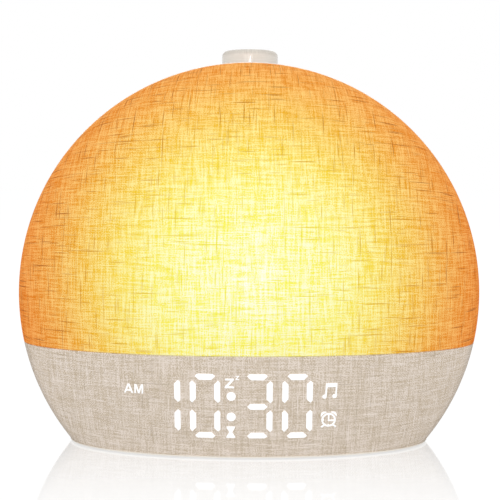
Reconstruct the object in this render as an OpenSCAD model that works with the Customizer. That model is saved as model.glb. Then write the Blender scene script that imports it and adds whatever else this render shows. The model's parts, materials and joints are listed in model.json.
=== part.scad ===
// Sunrise alarm clock: a half-dome bedside light over a clock display, each behind its own cloth.
// Lengths are in millimetres. Z is up, the front faces -Y, and the clock stands on z = 0.
// Most pieces are drawn about the centre of the rim, where the cloth front meets the rear housing.

/* [Body] */
// Width across the rim of the rear housing
body_w = 200; // [188:1:216]
// How far the cloth crown bulges in front of the rim
crown_d = 46; // [44:0.5:54]
// How far the rear housing reaches behind the rim
rear_d = 43; // [42:0.5:52]
// Height of the rim's centre above the cloth's lower edge
sit_h = 62.8; // [60:0.1:68]
// How far the seam between dome and display band lies below the rim's centre
seam_drop = 20.2; // [19:0.1:22]
// Roundness of the rear housing: 2 is an ellipse, more is squarer
rear_power = 2.8; // [2.6:0.05:3.4]
// How far the rear curve would run on behind the flat back
back_bulge = 1.7; // [1:0.1:3]
// Wall of the rear housing
wall_t = 2.4; // [1.8:0.1:2.8]

/* [Cloth front] */
// How far the cloth's edge lies inside the housing's rim
rim_step = 0.3; // [0.1:0.1:0.8]
// Thickness of the laminated cloth
cloth_t = 0.7; // [0.5:0.1:1]
// Width of the groove between the two cloths
seam_gap = 0.3; // [0.2:0.1:0.8]
// Wall of the diffuser and of the display shell
front_wall_t = 2.2; // [1.8:0.1:2.6]
// Width of the flange that the front shells turn in at the rim
flange_w = 8.8; // [8:0.1:11]
// Thickness of that flange and of the edge at the seam
flange_t = 2; // [1.6:0.1:2.6]

/* [Display] */
// Height of a digit
digit_h = 27.2; // [25:0.1:28]
// Width of a digit
digit_w = 12.3; // [11:0.1:13]
// Distance between the two digits of a pair
digit_pitch = 16.1; // [15.4:0.1:17]
// Distance between the inner digits of the two pairs
pair_pitch = 21; // [20.6:0.1:21.6]
// Width of a lit bar
bar_t = 2.5; // [2:0.1:2.8]
// Length of an upright bar
upright_l = 9.3; // [8.5:0.1:9.8]
// Length of a level bar
level_l = 8.2; // [7.5:0.1:9]
// Diameter of a colon dot
dot_d = 3.7; // [3:0.1:4]
// Distance between the colon dots
dot_pitch = 8.7; // [8:0.1:9.6]
// How far the colon lies left of the clock's middle
colon_left = 7; // [6.8:0.1:7.4]
// How far the digits' middle lies below the seam
digits_drop = 20.7; // [20:0.1:21]
// Width of the window behind the display cloth
window_w = 108; // [106:0.5:110]
// Height of that window
window_h = 32; // [31:0.5:33]
// How far in front of the rim the display board lies
display_board_front = 24; // [20:0.5:26]

/* [Light] */
// Width of the light board
light_board_w = 104; // [98:1:112]
// Height of the light board
light_board_h = 46; // [42:1:50]
// Columns of light-emitting diodes
led_columns = 6; // [4:1:7]
// Rows of light-emitting diodes
led_rows = 4; // [3:1:5]
// Gap between the reflector sheet's edge and the flange of the front shells
reflector_gap = 4; // [2:0.1:8]

/* [Knob] */
// Diameter of the knob
knob_d = 24.6; // [23:0.1:26]
// Height of the knob
knob_h = 8.7; // [8:0.1:10]
// Rounding of the knob's top edge
knob_round = 2.6; // [1:0.1:2.8]
// Wall of the knob
knob_wall = 1.8; // [1.4:0.1:2.2]
// How far behind the rim the knob's axis lies
knob_back = 15; // [15:0.1:17]
// How far the knob's seat lies below the top of the rim
seat_drop = 3.5; // [3:0.1:4.5]
// Gap all round the knob in its seat
knob_gap = 0.9; // [0.7:0.1:1.2]
// How far the knob can be pressed
press_travel = 0.5; // [0.3:0.05:0.6]
// Diameter of the encoder's shaft
shaft_d = 6; // [5.6:0.1:6.2]

/* [Sound] */
// Diameter of the speaker's flange
speaker_d = 40; // [38:0.5:42]
// How far the speaker's axis lies below the rim's centre
speaker_drop = 14; // [10:0.5:15]
// Diameter of the pressed-in grille
grille_d = 45; // [43:0.5:47]
// Thickness of the grille
grille_t = 1.6; // [1.2:0.1:1.8]
// Diameter of a sound hole
sound_hole_d = 1.8; // [1.4:0.1:2]
// Distance between sound holes
sound_hole_pitch = 3.4; // [3.2:0.1:4]
// How far the cone can move each way
cone_travel = 0.8; // [0.4:0.1:1]

/* [Base] */
// Thickness of the base plate's visible edge
lip_t = 0.6; // [0.5:0.1:1.2]
// Thickness of the base plate
base_t = 2; // [1.8:0.1:2.6]
// Length of the rubber foot pad
pad_l = 104; // [96:1:108]
// Width of the rubber foot pad
pad_w = 50; // [44:1:52]
// How far the foot pad stands below the base plate
pad_proud = 0.4; // [0.3:0.1:1.2]
// How far the foot pad sinks into the base plate
pad_sunk = 0.8; // [0.5:0.1:1]
// Width of the pocket round the power inlet
inlet_w = 13.6; // [13:0.1:16]
// Height of the pocket round the power inlet
inlet_h = 8; // [7.6:0.1:9]
// How far the power inlet lies below the rim's centre
inlet_drop = 50; // [49:0.1:51]

/* [Fasteners and boards] */
// Diameter of a screw's shank
screw_d = 2.4; // [2:0.1:2.6]
// Diameter of a screw's head
head_d = 5; // [4.4:0.1:5.2]
// Thickness of a screw's head
head_t = 1.6; // [1.2:0.1:1.8]
// Diameter of a screw boss
boss_d = 6.4; // [5.8:0.1:7]
// Thickness of a circuit board
board_t = 1.2; // [1:0.1:1.6]
// Width of the main board
main_board_w = 84; // [78:1:88]
// Height of the main board
main_board_h = 50; // [46:1:52]

/* [Hidden] */
$fn = 96;
arc_steps = 26;
rear_steps = 18;
overcut = 1;            // how far a cutting shape runs past what it cuts
fit = 0.05;             // play between a pin, screw or shaft and its hole
slack = 0.3;            // play between pieces that only lie inside each other
light_t = 0.18;         // thickness of the lit characters on the cloth
skin_lift = 0.02;       // how far they lie off the cloth
far = 260;              // larger than the whole clock

rim_r = body_w / 2;
front_r = rim_r - rim_step;
shell_in = cloth_t + front_wall_t;
rear_full_d = rear_d + back_bulge;
base_z = -sit_h;
seam_z = -seam_drop;
floor_z = base_z - lip_t;
floor_top_z = floor_z + base_t;
rim_height = sit_h + lip_t + pad_proud;
rim_y = (crown_d - rear_d) / 2;

frame_t = 2;
frame_r = rim_r - wall_t - slack;
frame_rim_t = 2.6;
frame_rim_h = 3;                // how far the frame's rim and ribs stand behind its plate
frame_rib_x = window_w / 2 + 2;
frame_back = frame_t + frame_rim_h;
rib_t = 1.2;
boss_gap = 2.3;                 // from a boss to the inside of the front shell
boss_ring_r = front_r - shell_in - boss_d / 2 - boss_gap;
dome_boss_angles = [10, 60, 120, 170];
band_boss_angles = [-26, -154];
deck_t = 1.6;

display_z = seam_z - digits_drop;
display_back = -display_board_front;
post_inset = 4;                 // from a board's edge to the middle of its screws
post_side_inset = 5.3;          // the same at the display board's ends
display_posts = [for (sx = [-1, 1], sz = [-1, 1])
    [sx * (window_w / 2 - post_side_inset), display_z + sz * (window_h / 2 - post_inset)]];
display_screw_bite = 4;
display_board_trim = 0.5;       // play of the display board in its window
lens_t = 2;
lens_fit = 0.05;
display_led = [1.6, 0.6, 1.6];
digit_xs = [-colon_left - pair_pitch / 2 - digit_pitch, -colon_left - pair_pitch / 2,
            -colon_left + pair_pitch / 2, -colon_left + pair_pitch / 2 + digit_pitch];
shown_digits = [1, 0, 3, 0];
// Bars a to g of a digit, clockwise from the top, then the middle: 1 is lit
digit_bars = [[1, 1, 1, 1, 1, 1, 0], [0, 1, 1, 0, 0, 0, 0], [1, 1, 0, 1, 1, 0, 1], [1, 1, 1, 1, 0, 0, 1]];
// Wells for the small signs, from the digits' middle: a word at the left, two signs above and below the
// colon and two at the right. Each is given by its middle, width and height
sign_wells = [[-46.7, 6.4, 9.4, 5], [-7.2, 9.6, 7, 5.4], [-7.2, -10.9, 4.6, 5.8],
              [32.4, 6.2, 7.4, 8], [32.4, -5.9, 8, 9]];

light_gap = 1;
light_z = 8;
light_face = -(light_gap + board_t);
light_posts = [for (sx = [-1, 1], sz = [-1, 1])
    [sx * (light_board_w / 2 - post_inset), light_z + sz * (light_board_h / 2 - post_inset)]];
led_size = [3.5, 0.8, 2.8];
led_margin_x = 12;              // from the light board's edge to the outer diodes
led_margin_z = 6.5;
led_pitch_x = (light_board_w - 2 * led_margin_x) / (led_columns - 1);
led_pitch_z = (light_board_h - 2 * led_margin_z) / (led_rows - 1);
led_window = 0.4;               // gap round a diode in the reflector
reflector_t = 0.5;
reflector_r = front_r - shell_in - flange_w - reflector_gap;
ledge_w = 3;                    // ring that carries the reflector's edge

main_gap = 5;
main_y = frame_t + main_gap;
main_z = 34;
main_face = main_y + board_t;
main_posts = [for (sx = [-1, 1], sz = [-1, 1])
    [sx * (main_board_w / 2 - post_inset), main_z + sz * (main_board_h / 2 - post_inset)]];
main_low_z = main_z - main_board_h / 2;
main_high_z = main_z + main_board_h / 2;
// What stands on the main board, by its middle: chips with width, height and thickness
chips = [[-14, 6, 10, 10, 1.4], [6, 8, 6, 5, 1.2], [20, -2, 5, 4, 1.2], [-26, -6, 7, 6, 2.8],
         [-2, -6, 5, 3.2, 1]];
// and capacitors with diameter and height
capacitors = [[-28, 8, 6.3, 7.7], [28, 8, 6.3, 7.7], [12, -8, 5, 5.4]];
connector_w = 11;
connector_h = 4;
connector_t = 1.6;
lead_connector_w = 6;
lead_connector_t = 3.4;
connector_inset = 1;            // from the board's edge

cable_t = 0.4;
cable_seat = cable_t / 2 + fit; // from a board's face to the middle of a cable on it
cable_tail = 5;                 // how much of a cable lies on its connector
cable_w = 9;
encoder_cable_w = 8;
power_cable_w = 6;
cable_slot_w = 12;
light_slot_h = 3;
display_slot_h = 4;
display_slot_drop = 15.5;       // from the seam to the display cable's slot
cable_light_x = -(main_board_w / 2 - post_inset - head_d / 2 - connector_w / 2 - 1);
cable_display_x = main_board_w / 2 - 24;
cable_power_x = -12;
cable_encoder_x = 0;
cable_speaker_x = 3;
cable_run_y = main_face + connector_t + cable_t / 2;
lead_d = 1;
lead_pitch = 2.4;

well_inset = 24;                // from the rim to the middle of a screw well
well_ring_r = rim_r - well_inset;
well_angles = [40, 140, 212, 328];
well_floor_y = 10;
well_floor_t = 2;
well_d = 7.2;
well_wall = 1.4;
wall_rib_h = 4;                 // how far the housing's ribs stand off its wall
wall_rib_in_r = 52;             // where they end towards the middle of the back
wall_rib_angles = [0, 20, 60, 120, 160, 180, 196, 344];

seat_h = rim_r - seat_drop;
knob_r = knob_d / 2;
knob_chamfer = 0.4;
hub_wall = 1.8;
knob_rib_t = 1;
seat_r = knob_r + knob_gap;
seat_t = 2.3;
seat_flare = 7;                 // radius of the fillet at the seat's foot
seat_straight = 2.5;            // how much of the seat's side stays upright above it
seat_flare_z = seat_h - seat_straight;
knob_floor_gap = 0.4;           // left under the knob when it is pressed
knob_lift = press_travel + knob_floor_gap;
knob_low_z = seat_h + knob_lift;
knob_top_z = knob_low_z + knob_h;
can_top_z = seat_h - seat_t;
can_h = 7;
can_w = 12.4;
board_rim = 0.8;                // how far the encoder's board stands out all round it
encoder_board_w = can_w + 2 * board_rim;
can_low_z = can_top_z - can_h;
seat_room = 9;                  // room under the encoder
seat_low_z = can_low_z - seat_room;
can_wall = 0.6;
bushing_wall = 0.7;
bushing_d = shaft_d + 2 * bushing_wall;
bushing_h = 5;
nut_af = 10;
nut_t = 2;
washer_t = 0.5;
shaft_r = shaft_d / 2;
flat_depth = 1.5;               // how deep the flat that drives the knob is cut
shaft_flat = shaft_r - flat_depth;
shaft_fit = 0.02;
key_step = 0.6;                 // how much thinner the shaft's lower end is
key_depth = 0.8;                // how deep the flat on that end is cut
key_r = shaft_r - key_step;
key_flat = key_r - key_depth;
dome_h = 0.8;
dome_r = 2.6;
dome_t = 0.2;
plunger_t = 0.8;
dome_base_z = can_low_z + can_wall;
plunger_z = dome_base_z + dome_h;
shaft_low_z = plunger_z + plunger_t + fit;
shaft_top_z = knob_top_z - knob_wall;
rotor_lift = 1;                 // how much of the shaft stands out below the rotor
rotor_z = shaft_low_z + rotor_lift;
rotor_t = 2;
hub_low_z = can_top_z + bushing_h + press_travel + slack;

speaker_z = -speaker_drop;
speaker_r = speaker_d / 2;
gasket_t = 2;
flange_plate_t = 1.2;
flange_back_y = rear_d - wall_t - gasket_t;
flange_front_y = flange_back_y - flange_plate_t;
speaker_depth = 20.6;           // from the back of its flange to its magnet
magnet_r = 11;
magnet_low_y = flange_back_y - speaker_depth;
magnet_h = 7;
magnet_floor_t = 1.5;
basket_t = 0.8;
basket_low_y = magnet_low_y + magnet_h;
basket_seat = 1.4;              // width of the ledge round the magnet
basket_hole_r = 2.6;
basket_hole_step = 4.4;         // from the magnet's edge to the middle of those holes
basket_hole_ring = magnet_r + basket_hole_step;
coil_r = 5.6;
coil_t = 0.4;
coil_play = 1.3;                // gap outside the voice coil
coil_gap_r = coil_r + coil_play;
coil_floor_gap = 1.7;           // left under the coil when the cone is furthest in
pole_play = 0.4;                // gap between the coil and the pole inside it
pole_r = coil_r - coil_t - pole_play;
surround_inset = 2.5;
surround_w = 3;
surround_r = speaker_r - surround_inset;
cone_r = surround_r - surround_w;
cone_t = 0.6;
cone_neck = 4;                  // from the magnet to the cone's neck
cap_h = 2.6;                    // rise of the dust cap
cap_t = 0.5;
surround_t = 0.4;
surround_rise = 0.8;            // height of its roll against a half circle
ear_r = grille_d / 2 + fit + screw_d / 2 + 0.4;
ear_w = 6;
ear_boss_r = 2.6;
ear_angles = [45, 135, 225, 315];
// Route of the speaker's leads, in the plane of depth and height
lead_bends = [[flange_front_y - 6, speaker_z + 17.2], [22, speaker_z + 18], [12, main_low_z - 3.5],
              [main_face + 1.7, main_low_z + 0.7]];

base_half_w = sqrt(front_r * front_r - sit_h * sit_h);
foot_screw_inset = 13.4;        // from the base's end to its screws
foot_screw_x = base_half_w - foot_screw_inset;
foot_screw_front = -12;
foot_screw_rear = 20;
column_extra = 0.3;             // how much thicker a column is than a boss, each side
column_r = boss_d / 2 + column_extra;
foot_head_t = 1.3;
locating_h = 2.4;
locating_t = 1.6;
pilot_h = 11;                   // depth of the holes that the foot screws bite into
column_h = 14;
column_web_t = 1.6;
web_low_z = floor_top_z + locating_h + slack;

inlet_z = -inlet_drop;
inlet_depth = 4.5;
inlet_floor_y = rear_d - inlet_depth;
inlet_floor_t = 1.6;
inlet_corner = 2.4;
port_w = 9;
port_h = 3.3;
port_l = 7.3;
port_wall = 0.3;
power_board_top = inlet_z - port_h / 2;
power_board_w = 22;
power_board_l = 16;
power_board_y = inlet_floor_y - power_board_l - inlet_floor_t;
tongue_w = 6.6;
tongue_t = 0.7;
recess_l = 2.8;                 // cross recess in a screw's head
recess_w = 0.6;
recess_h = 0.7;

cloth_glow = [0.98, 0.76, 0.36];
cloth_linen = [0.83, 0.78, 0.71];
lit_white = [1, 1, 1];
shell_white = [0.94, 0.93, 0.90];
knob_cream = [0.87, 0.84, 0.80];
frosted = [0.97, 0.96, 0.93];
black_plastic = [0.12, 0.12, 0.13];
board_green = [0.10, 0.36, 0.22];
board_white = [0.92, 0.93, 0.93];
steel = [0.70, 0.71, 0.73];
brass = [0.80, 0.66, 0.36];
rubber_grey = [0.55, 0.55, 0.55];
led_yellow = [0.98, 0.88, 0.45];
paper_grey = [0.20, 0.20, 0.22];
nylon_white = [0.90, 0.90, 0.88];
lead_red = [0.75, 0.12, 0.10];

// ---- Shared forms ----

// Moves what is drawn about the rim's centre to where the clock stands on z = 0
module stand() translate([0, rim_y, rim_height]) children();

// Everything between two heights, or between two depths
module level(low, high) translate([-far / 2, -far / 2, low]) cube([far, far, high - low]);
module slice_y(front, back) translate([-far / 2, front, -far / 2]) cube([far, back - front, far]);

// The crown's outer surface moved inwards by inset, closed by a flat face at y = reach
module crown(inset, reach = 0) {
    outline = [for (i = [0:arc_steps]) let (a = 90 * i / arc_steps)
        [(front_r - inset) * cos(a), -(crown_d - inset) * sin(a)]];
    cap = reach > 0 ? [[0, reach], [front_r - inset, reach]] : [[0, 0]];
    rotate([-90, 0, 0]) rotate_extrude($fn = 200) polygon(concat(cap, outline));
}

// The rear housing's outer surface moved inwards by inset, from the plane y = reach to its flat back
module bowl(inset, reach = 0) {
    deep = rear_full_d - inset;
    last = asin(pow((rear_d - inset) / deep, rear_power / 2));
    outline = [for (i = [0:rear_steps]) let (a = last * i / rear_steps)
        [(rim_r - inset) * pow(cos(a), 2 / rear_power), deep * pow(sin(a), 2 / rear_power)]];
    cap = reach < 0 ? [[0, reach], [rim_r - inset, reach]] : [[0, 0]];
    rotate([-90, 0, 0]) rotate_extrude($fn = 200) polygon(concat(cap, outline, [[0, rear_d - inset]]));
}

// A layer of the crown between two insets
module crown_layer(outer, inner) difference() {
    crown(outer);
    crown(inner, overcut);
}

// A 2D shape, drawn as seen from the front, carried from one depth to another
module through_y(front, back) translate([0, back, 0]) rotate([90, 0, 0])
    linear_extrude(back - front) children();
module rod_y(x, z, front, back, r) translate([x, back, z]) rotate([90, 0, 0])
    cylinder(h = back - front, r = r);
module on_ring(ring_r, angles) for (a = angles) translate([ring_r * cos(a), 0, ring_r * sin(a)]) children();
module panel_screw(front, back) {                       // the head lies behind the shank
    rod_y(0, 0, front, back, screw_d / 2);
    difference() {
        rod_y(0, 0, back, back + head_t, head_d / 2);
        for (turn = [45, 135]) rotate([0, turn, 0])     // cross recess
            translate([-recess_l / 2, back + head_t - recess_h, -recess_w / 2])
                cube([recess_l, overcut, recess_w]);
    }
}
module rounded(w, h, r) {
    square([w - 2 * r, h], center = true);
    square([w, h - 2 * r], center = true);
    for (sx = [-1, 1], sy = [-1, 1]) translate([sx * (w / 2 - r), sy * (h / 2 - r)])
        circle(r = r, $fn = 32);
}

// A flat flexible cable: its bends are given in the plane of depth and height
module ribbon(bends, x, w) translate([x - w / 2, 0, 0]) rotate([90, 0, 90]) linear_extrude(w) {
    for (i = [0:len(bends) - 2]) let (run = bends[i + 1] - bends[i])
        translate(bends[i]) rotate(atan2(run[1], run[0]))
            translate([0, -cable_t / 2]) square([norm(run), cable_t]);
    for (i = [1:len(bends) - 2]) translate(bends[i]) circle(d = cable_t, $fn = 24);
}

// A round wire through a few points
module wire(points, d) {
    for (i = [0:len(points) - 2]) let (run = points[i + 1] - points[i])
        translate(points[i]) rotate([0, acos(run[2] / norm(run)), atan2(run[1], run[0])])
            cylinder(h = norm(run), d = d, $fn = 24);
    for (i = [1:len(points) - 2]) translate(points[i]) sphere(d = d * 1.08, $fn = 24);
}

// ---- Characters ----

// One bar, its tips nearer the outer side: side is 1 or -1, and 0 puts them in the middle
module bar(l, t, side) {
    tip = side * t * 0.13;
    near = t / 2 - abs(tip);
    deep = t / 2 + abs(tip);
    up = side >= 0 ? near : deep;
    down = side >= 0 ? deep : near;
    polygon([[-l / 2, tip], [-l / 2 + up, t / 2], [l / 2 - up, t / 2],
             [l / 2, tip], [l / 2 - down, -t / 2], [-l / 2 + down, -t / 2]]);
}

// The bars of one digit whose flags are set; trim takes a little off every edge
module digit(flags, trim = 0) {
    x = (digit_w - bar_t) / 2;
    z = (digit_h - bar_t) / 2;
    t = bar_t - 2 * trim;
    up = upright_l - 2.4 * trim;
    across = level_l - 2.4 * trim;
    if (flags[0]) translate([0, z]) bar(across, t, 1);
    if (flags[1]) translate([x, z / 2]) rotate(90) bar(up, t, -1);
    if (flags[2]) translate([x, -z / 2]) rotate(90) bar(up, t, -1);
    if (flags[3]) translate([0, -z]) bar(across, t, -1);
    if (flags[4]) translate([-x, -z / 2]) rotate(90) bar(up, t, 1);
    if (flags[5]) translate([-x, z / 2]) rotate(90) bar(up, t, 1);
    if (flags[6]) bar(across, t, 0);
}
module colon(trim = 0) for (s = [-1, 1]) translate([-colon_left, s * dot_pitch / 2])
    circle(d = dot_d - 2 * trim, $fn = 40);
module all_bars(trim = 0) translate([0, display_z]) {
    for (x = digit_xs) translate([x, 0]) digit([1, 1, 1, 1, 1, 1, 1], trim);
    colon(trim);
}

module signs(trim = 0) translate([0, display_z]) for (s = sign_wells)
    translate([s[0], s[1]]) square([s[2] - 2 * trim, s[3] - 2 * trim], center = true);

// ---- Front ----

module dome_fabric() color(cloth_glow) stand() intersection() {
    crown_layer(0, cloth_t);
    level(seam_z + seam_gap / 2, far);
}

module display_fabric() color(cloth_linen) stand() intersection() {
    crown_layer(0, cloth_t);
    level(base_z, seam_z - seam_gap / 2);
}

// The lit time, a thin skin on the display cloth
module time_digits() color(lit_white) stand() intersection() {
    crown_layer(-skin_lift - light_t, -skin_lift);
    through_y(-far / 2, display_back) translate([0, display_z]) {
        for (i = [0:3]) translate([digit_xs[i], 0]) digit(digit_bars[shown_digits[i]]);
        colon();
    }
}

// A screw boss that stands on the flange inside a front shell
module flange_boss() rod_y(0, 0, -boss_d, 0, boss_d / 2);
module flange_pilot() rod_y(0, 0, 1 - boss_d, overcut, screw_d / 2 + fit);
module rim_flange() difference() {
    intersection() {
        crown(shell_in - fit);
        slice_y(-flange_t, 0);
    }
    rod_y(0, 0, -far / 2, far / 2, front_r - shell_in - flange_w);
}

module dome_diffuser() color(frosted) stand() difference() {
    union() {
        intersection() {
            union() {
                crown_layer(cloth_t, shell_in);
                rim_flange();
                intersection() {                       // the edge that rests on the display shell
                    crown_layer(shell_in - fit, shell_in + flange_w / 2);
                    level(seam_z, seam_z + flange_t);
                }
            }
            level(seam_z, far);
        }
        on_ring(boss_ring_r, dome_boss_angles) flange_boss();
    }
    on_ring(boss_ring_r, dome_boss_angles) flange_pilot();
}

module display_shell() color(shell_white) stand() difference() {
    union() {
        intersection() {
            union() {
                crown_layer(cloth_t, shell_in);
                intersection() {
                    rim_flange();
                    level(floor_top_z + slack, far);
                }
                intersection() {                       // the deck that keeps the dome's light out
                    crown(shell_in - fit);
                    level(seam_z - deck_t, seam_z);
                }
            }
            level(base_z, seam_z);
        }
        on_ring(boss_ring_r, band_boss_angles) flange_boss();
        for (sx = [-1, 1]) translate([sx * foot_screw_x, foot_screw_front, floor_top_z])
            cylinder(h = seam_z - deck_t / 2 - floor_top_z, r = column_r);
    }
    on_ring(boss_ring_r, band_boss_angles) flange_pilot();
    through_y(-far / 2, display_back) translate([0, display_z]) square([window_w, window_h], center = true);
    for (sx = [-1, 1]) translate([sx * foot_screw_x, foot_screw_front, floor_top_z - overcut])
        cylinder(h = pilot_h + overcut, r = screw_d / 2 + fit);
}

// The block of light wells behind the display cloth
module light_box() color(black_plastic) stand() difference() {
    intersection() {
        crown(cloth_t);
        through_y(-far / 2, display_back) translate([0, display_z])
            square([window_w - 2 * slack, window_h - 2 * slack], center = true);
    }
    through_y(-far / 2, display_back + overcut) { all_bars(); signs(); }
    for (p = display_posts)
        rod_y(p[0], p[1], display_back - display_screw_bite, display_back + overcut, screw_d / 2 + fit);
}

// White plugs that close the front of each well
module segment_lenses() color(frosted) stand() intersection() {
    crown_layer(cloth_t, cloth_t + lens_t);
    through_y(-far / 2, display_back) { all_bars(lens_fit); signs(lens_fit); }
}

module display_board() color(board_green) stand() difference() {
    through_y(display_back, display_back + board_t) translate([0, display_z])
        rounded(window_w - 2 * display_board_trim, window_h - 2 * display_board_trim, 1.5);
    for (p = display_posts) rod_y(p[0], p[1], -far / 2, 0, screw_d / 2 + fit);
}

// One light-emitting diode at the foot of each well
module display_leds() color(led_yellow) stand() {
    x = (digit_w - bar_t) / 2;
    z = (digit_h - bar_t) / 2;
    bars = [[0, z], [x, z / 2], [x, -z / 2], [0, -z], [-x, -z / 2], [-x, z / 2], [0, 0]];
    spots = concat([for (c = digit_xs, p = bars) [c + p[0], p[1]]],
        [for (s = [-1, 1]) [-colon_left, s * dot_pitch / 2]], [for (s = sign_wells) [s[0], s[1]]]);
    for (p = spots) translate([p[0], display_back - display_led[1] / 2, display_z + p[1]])
        cube(display_led, center = true);
}

// ---- Frame, reflector and boards ----

// Ribs behind the frame's plate: one across, and one beside each end of the display
module frame_ribs() intersection() {
    rod_y(0, 0, 0, frame_back, frame_r - frame_rim_t / 2);
    union() {
        translate([-far / 2, 0, -rib_t / 2]) cube([far, far, rib_t]);
        for (sx = [-1, 1]) translate([sx * frame_rib_x - rib_t / 2, 0, -far / 2]) cube([rib_t, far, far]);
    }
}

module front_frame() color(shell_white) stand() difference() {
    union() {
        intersection() {
            union() {
                rod_y(0, 0, 0, frame_t, frame_r);
                difference() {                          // stiffening rim
                    rod_y(0, 0, 0, frame_back, frame_r);
                    rod_y(0, 0, -overcut, frame_back + overcut, frame_r - frame_rim_t);
                }
                frame_ribs();
            }
            level(floor_top_z + slack, far);
        }
        difference() {                                  // ledge under the reflector's edge
            rod_y(0, 0, light_face, 0, reflector_r - reflector_t);
            rod_y(0, 0, light_face - overcut, 0, reflector_r - reflector_t - ledge_w);
            level(-far / 2, seam_z + flange_t + 1);
        }
        for (p = light_posts) rod_y(p[0], p[1], -light_gap, 0, boss_d / 2);
        for (p = main_posts) rod_y(p[0], p[1], frame_t, main_y, boss_d / 2);
        for (p = display_posts) translate([p[0], 0, p[1]]) rotate([90, 0, 0])
            cylinder(h = display_board_front - board_t, r1 = boss_d / 2, r2 = boss_d / 2 - 0.4);
        on_ring(well_ring_r, well_angles)
            rod_y(0, 0, frame_t, well_floor_y - well_floor_t, boss_d / 2 + 0.8);
    }
    for (p = concat(light_posts, main_posts, display_posts))
        rod_y(p[0], p[1], -far / 2, far / 2, screw_d / 2 + fit);
    on_ring(well_ring_r, well_angles) rod_y(0, 0, -overcut, far / 2, screw_d / 2 + fit);
    on_ring(boss_ring_r, concat(dome_boss_angles, band_boss_angles))
        rod_y(0, 0, -overcut, far / 2, screw_d / 2 + fit);
    // room for the knob's seat at the top, and slots for the two cables
    translate([0, knob_back, seat_low_z]) cylinder(h = far, r = seat_r + slack);
    translate([cable_light_x - cable_slot_w / 2, -overcut, seam_z + 1.4])
        cube([cable_slot_w, frame_t + 2 * overcut, light_slot_h]);
    translate([cable_display_x - cable_slot_w / 2, -overcut, seam_z - display_slot_drop])
        cube([cable_slot_w, frame_t + 2 * overcut, display_slot_h]);
}

module light_board() color(board_white) stand() difference() {
    through_y(light_face, -light_gap) translate([0, light_z]) rounded(light_board_w, light_board_h, 4);
    for (p = light_posts) rod_y(p[0], p[1], -far / 2, 0, screw_d / 2 + fit);
}

module at_leds() for (i = [0:led_columns - 1], j = [0:led_rows - 1])
    translate([(i - (led_columns - 1) / 2) * led_pitch_x, light_face,
               light_z + (j - (led_rows - 1) / 2) * led_pitch_z]) children();
module light_leds() color(led_yellow) stand() at_leds()
    translate([-led_size[0] / 2, -led_size[1], -led_size[2] / 2]) cube(led_size);

module reflector_sheet() color(board_white) stand() difference() {
    intersection() {
        rod_y(0, 0, light_face - reflector_t, light_face, reflector_r);
        level(seam_z + flange_t + 0.5, far);
    }
    at_leds() translate([-led_size[0] / 2 - led_window, -2, -led_size[2] / 2 - led_window])
        cube([led_size[0] + 2 * led_window, 4, led_size[2] + 2 * led_window]);
    for (p = light_posts) rod_y(p[0], p[1], -far / 2, 0, head_d / 2 + 0.6);
}

module main_board() color(board_green) stand() difference() {
    through_y(main_y, main_face) translate([0, main_z]) rounded(main_board_w, main_board_h, 2);
    for (p = main_posts) rod_y(p[0], p[1], 0, far / 2, screw_d / 2 + fit);
}

module board_chips() color(black_plastic) stand() for (c = chips)
    translate([c[0] - c[2] / 2, main_face, main_z + c[1] - c[3] / 2]) cube([c[2], c[4], c[3]]);

module board_capacitors() color(steel) stand() for (c = capacitors)
    rod_y(c[0], main_z + c[1], main_face, main_face + c[3], c[2] / 2);

// A connector by its middle and lower edge on the main board
module connector(x, z, w, t) translate([x - w / 2, main_face, z]) cube([w, t, connector_h]);
module board_connectors() color(board_white) stand() {
    for (x = [cable_light_x, cable_display_x, cable_power_x])
        connector(x, main_low_z + connector_inset, connector_w, connector_t);
    connector(cable_encoder_x, main_high_z - connector_inset - connector_h, connector_w, connector_t);
    connector(cable_speaker_x, main_low_z + connector_inset, lead_connector_w, lead_connector_t);
}

module light_cable() color(board_white) stand() ribbon([
    [-light_gap + cable_seat, light_z - light_board_h / 2 + 7], [-light_gap + cable_seat, seam_z + 3],
    [frame_t + 1.5, seam_z + 2.6], [cable_run_y, main_low_z - 5], [cable_run_y, main_low_z + cable_tail]],
    cable_light_x, cable_w);

module display_cable() color(board_white) stand() ribbon([
    [display_back + board_t + cable_seat, display_z + 9],
    [display_back + board_t + cable_seat, display_z + 5], [-3, seam_z - 13.6],
    [frame_t + 1.5, seam_z - 13.4], [cable_run_y, main_low_z - 8], [cable_run_y, main_low_z + cable_tail]],
    cable_display_x, cable_w);

module encoder_cable() color(board_white) stand() ribbon([
    [knob_back, can_low_z - board_t - cable_seat], [knob_back - 4, can_low_z - board_t - cable_seat - 0.2],
    [cable_run_y, can_low_z - 12], [cable_run_y, main_high_z - cable_tail]], cable_encoder_x,
    encoder_cable_w);

module power_cable() color(board_white) stand() ribbon([
    [power_board_y + 4, power_board_top + cable_seat],
    [power_board_y - 2, power_board_top + cable_seat + fit], [cable_run_y, power_board_top + 8],
    [cable_run_y, main_low_z + cable_tail]], cable_power_x, power_cable_w);

module speaker_leads() color(lead_red) stand() for (s = [-1, 1])
    wire([for (p = lead_bends) [cable_speaker_x + s * lead_pitch / 2, p[0], p[1]]], lead_d);

// ---- Rear ----

// The raised seat that carries the knob; behind the axis its foot flares out into the housing
module knob_seat() translate([0, knob_back, 0]) {
    translate([0, 0, seat_low_z]) cylinder(h = seat_h - seat_low_z, r = seat_r);
    foot = [for (a = [0:10:90]) [seat_r + seat_flare * (1 - sin(a)), seat_flare_z - seat_flare * cos(a)]];
    intersection() {
        rotate_extrude()
            polygon(concat([[seat_r - 1, seat_flare_z], [seat_r - 1, seat_flare_z - seat_flare]], foot));
        slice_y(0, far);
    }
}

// Plates that stand on edge along the radius, from one radius and depth outwards
module radial_plates(angles, from_r, from_y, t) for (a = angles) rotate([0, -a, 0])
    translate([from_r, from_y, -t / 2]) cube([far, far, t]);

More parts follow.
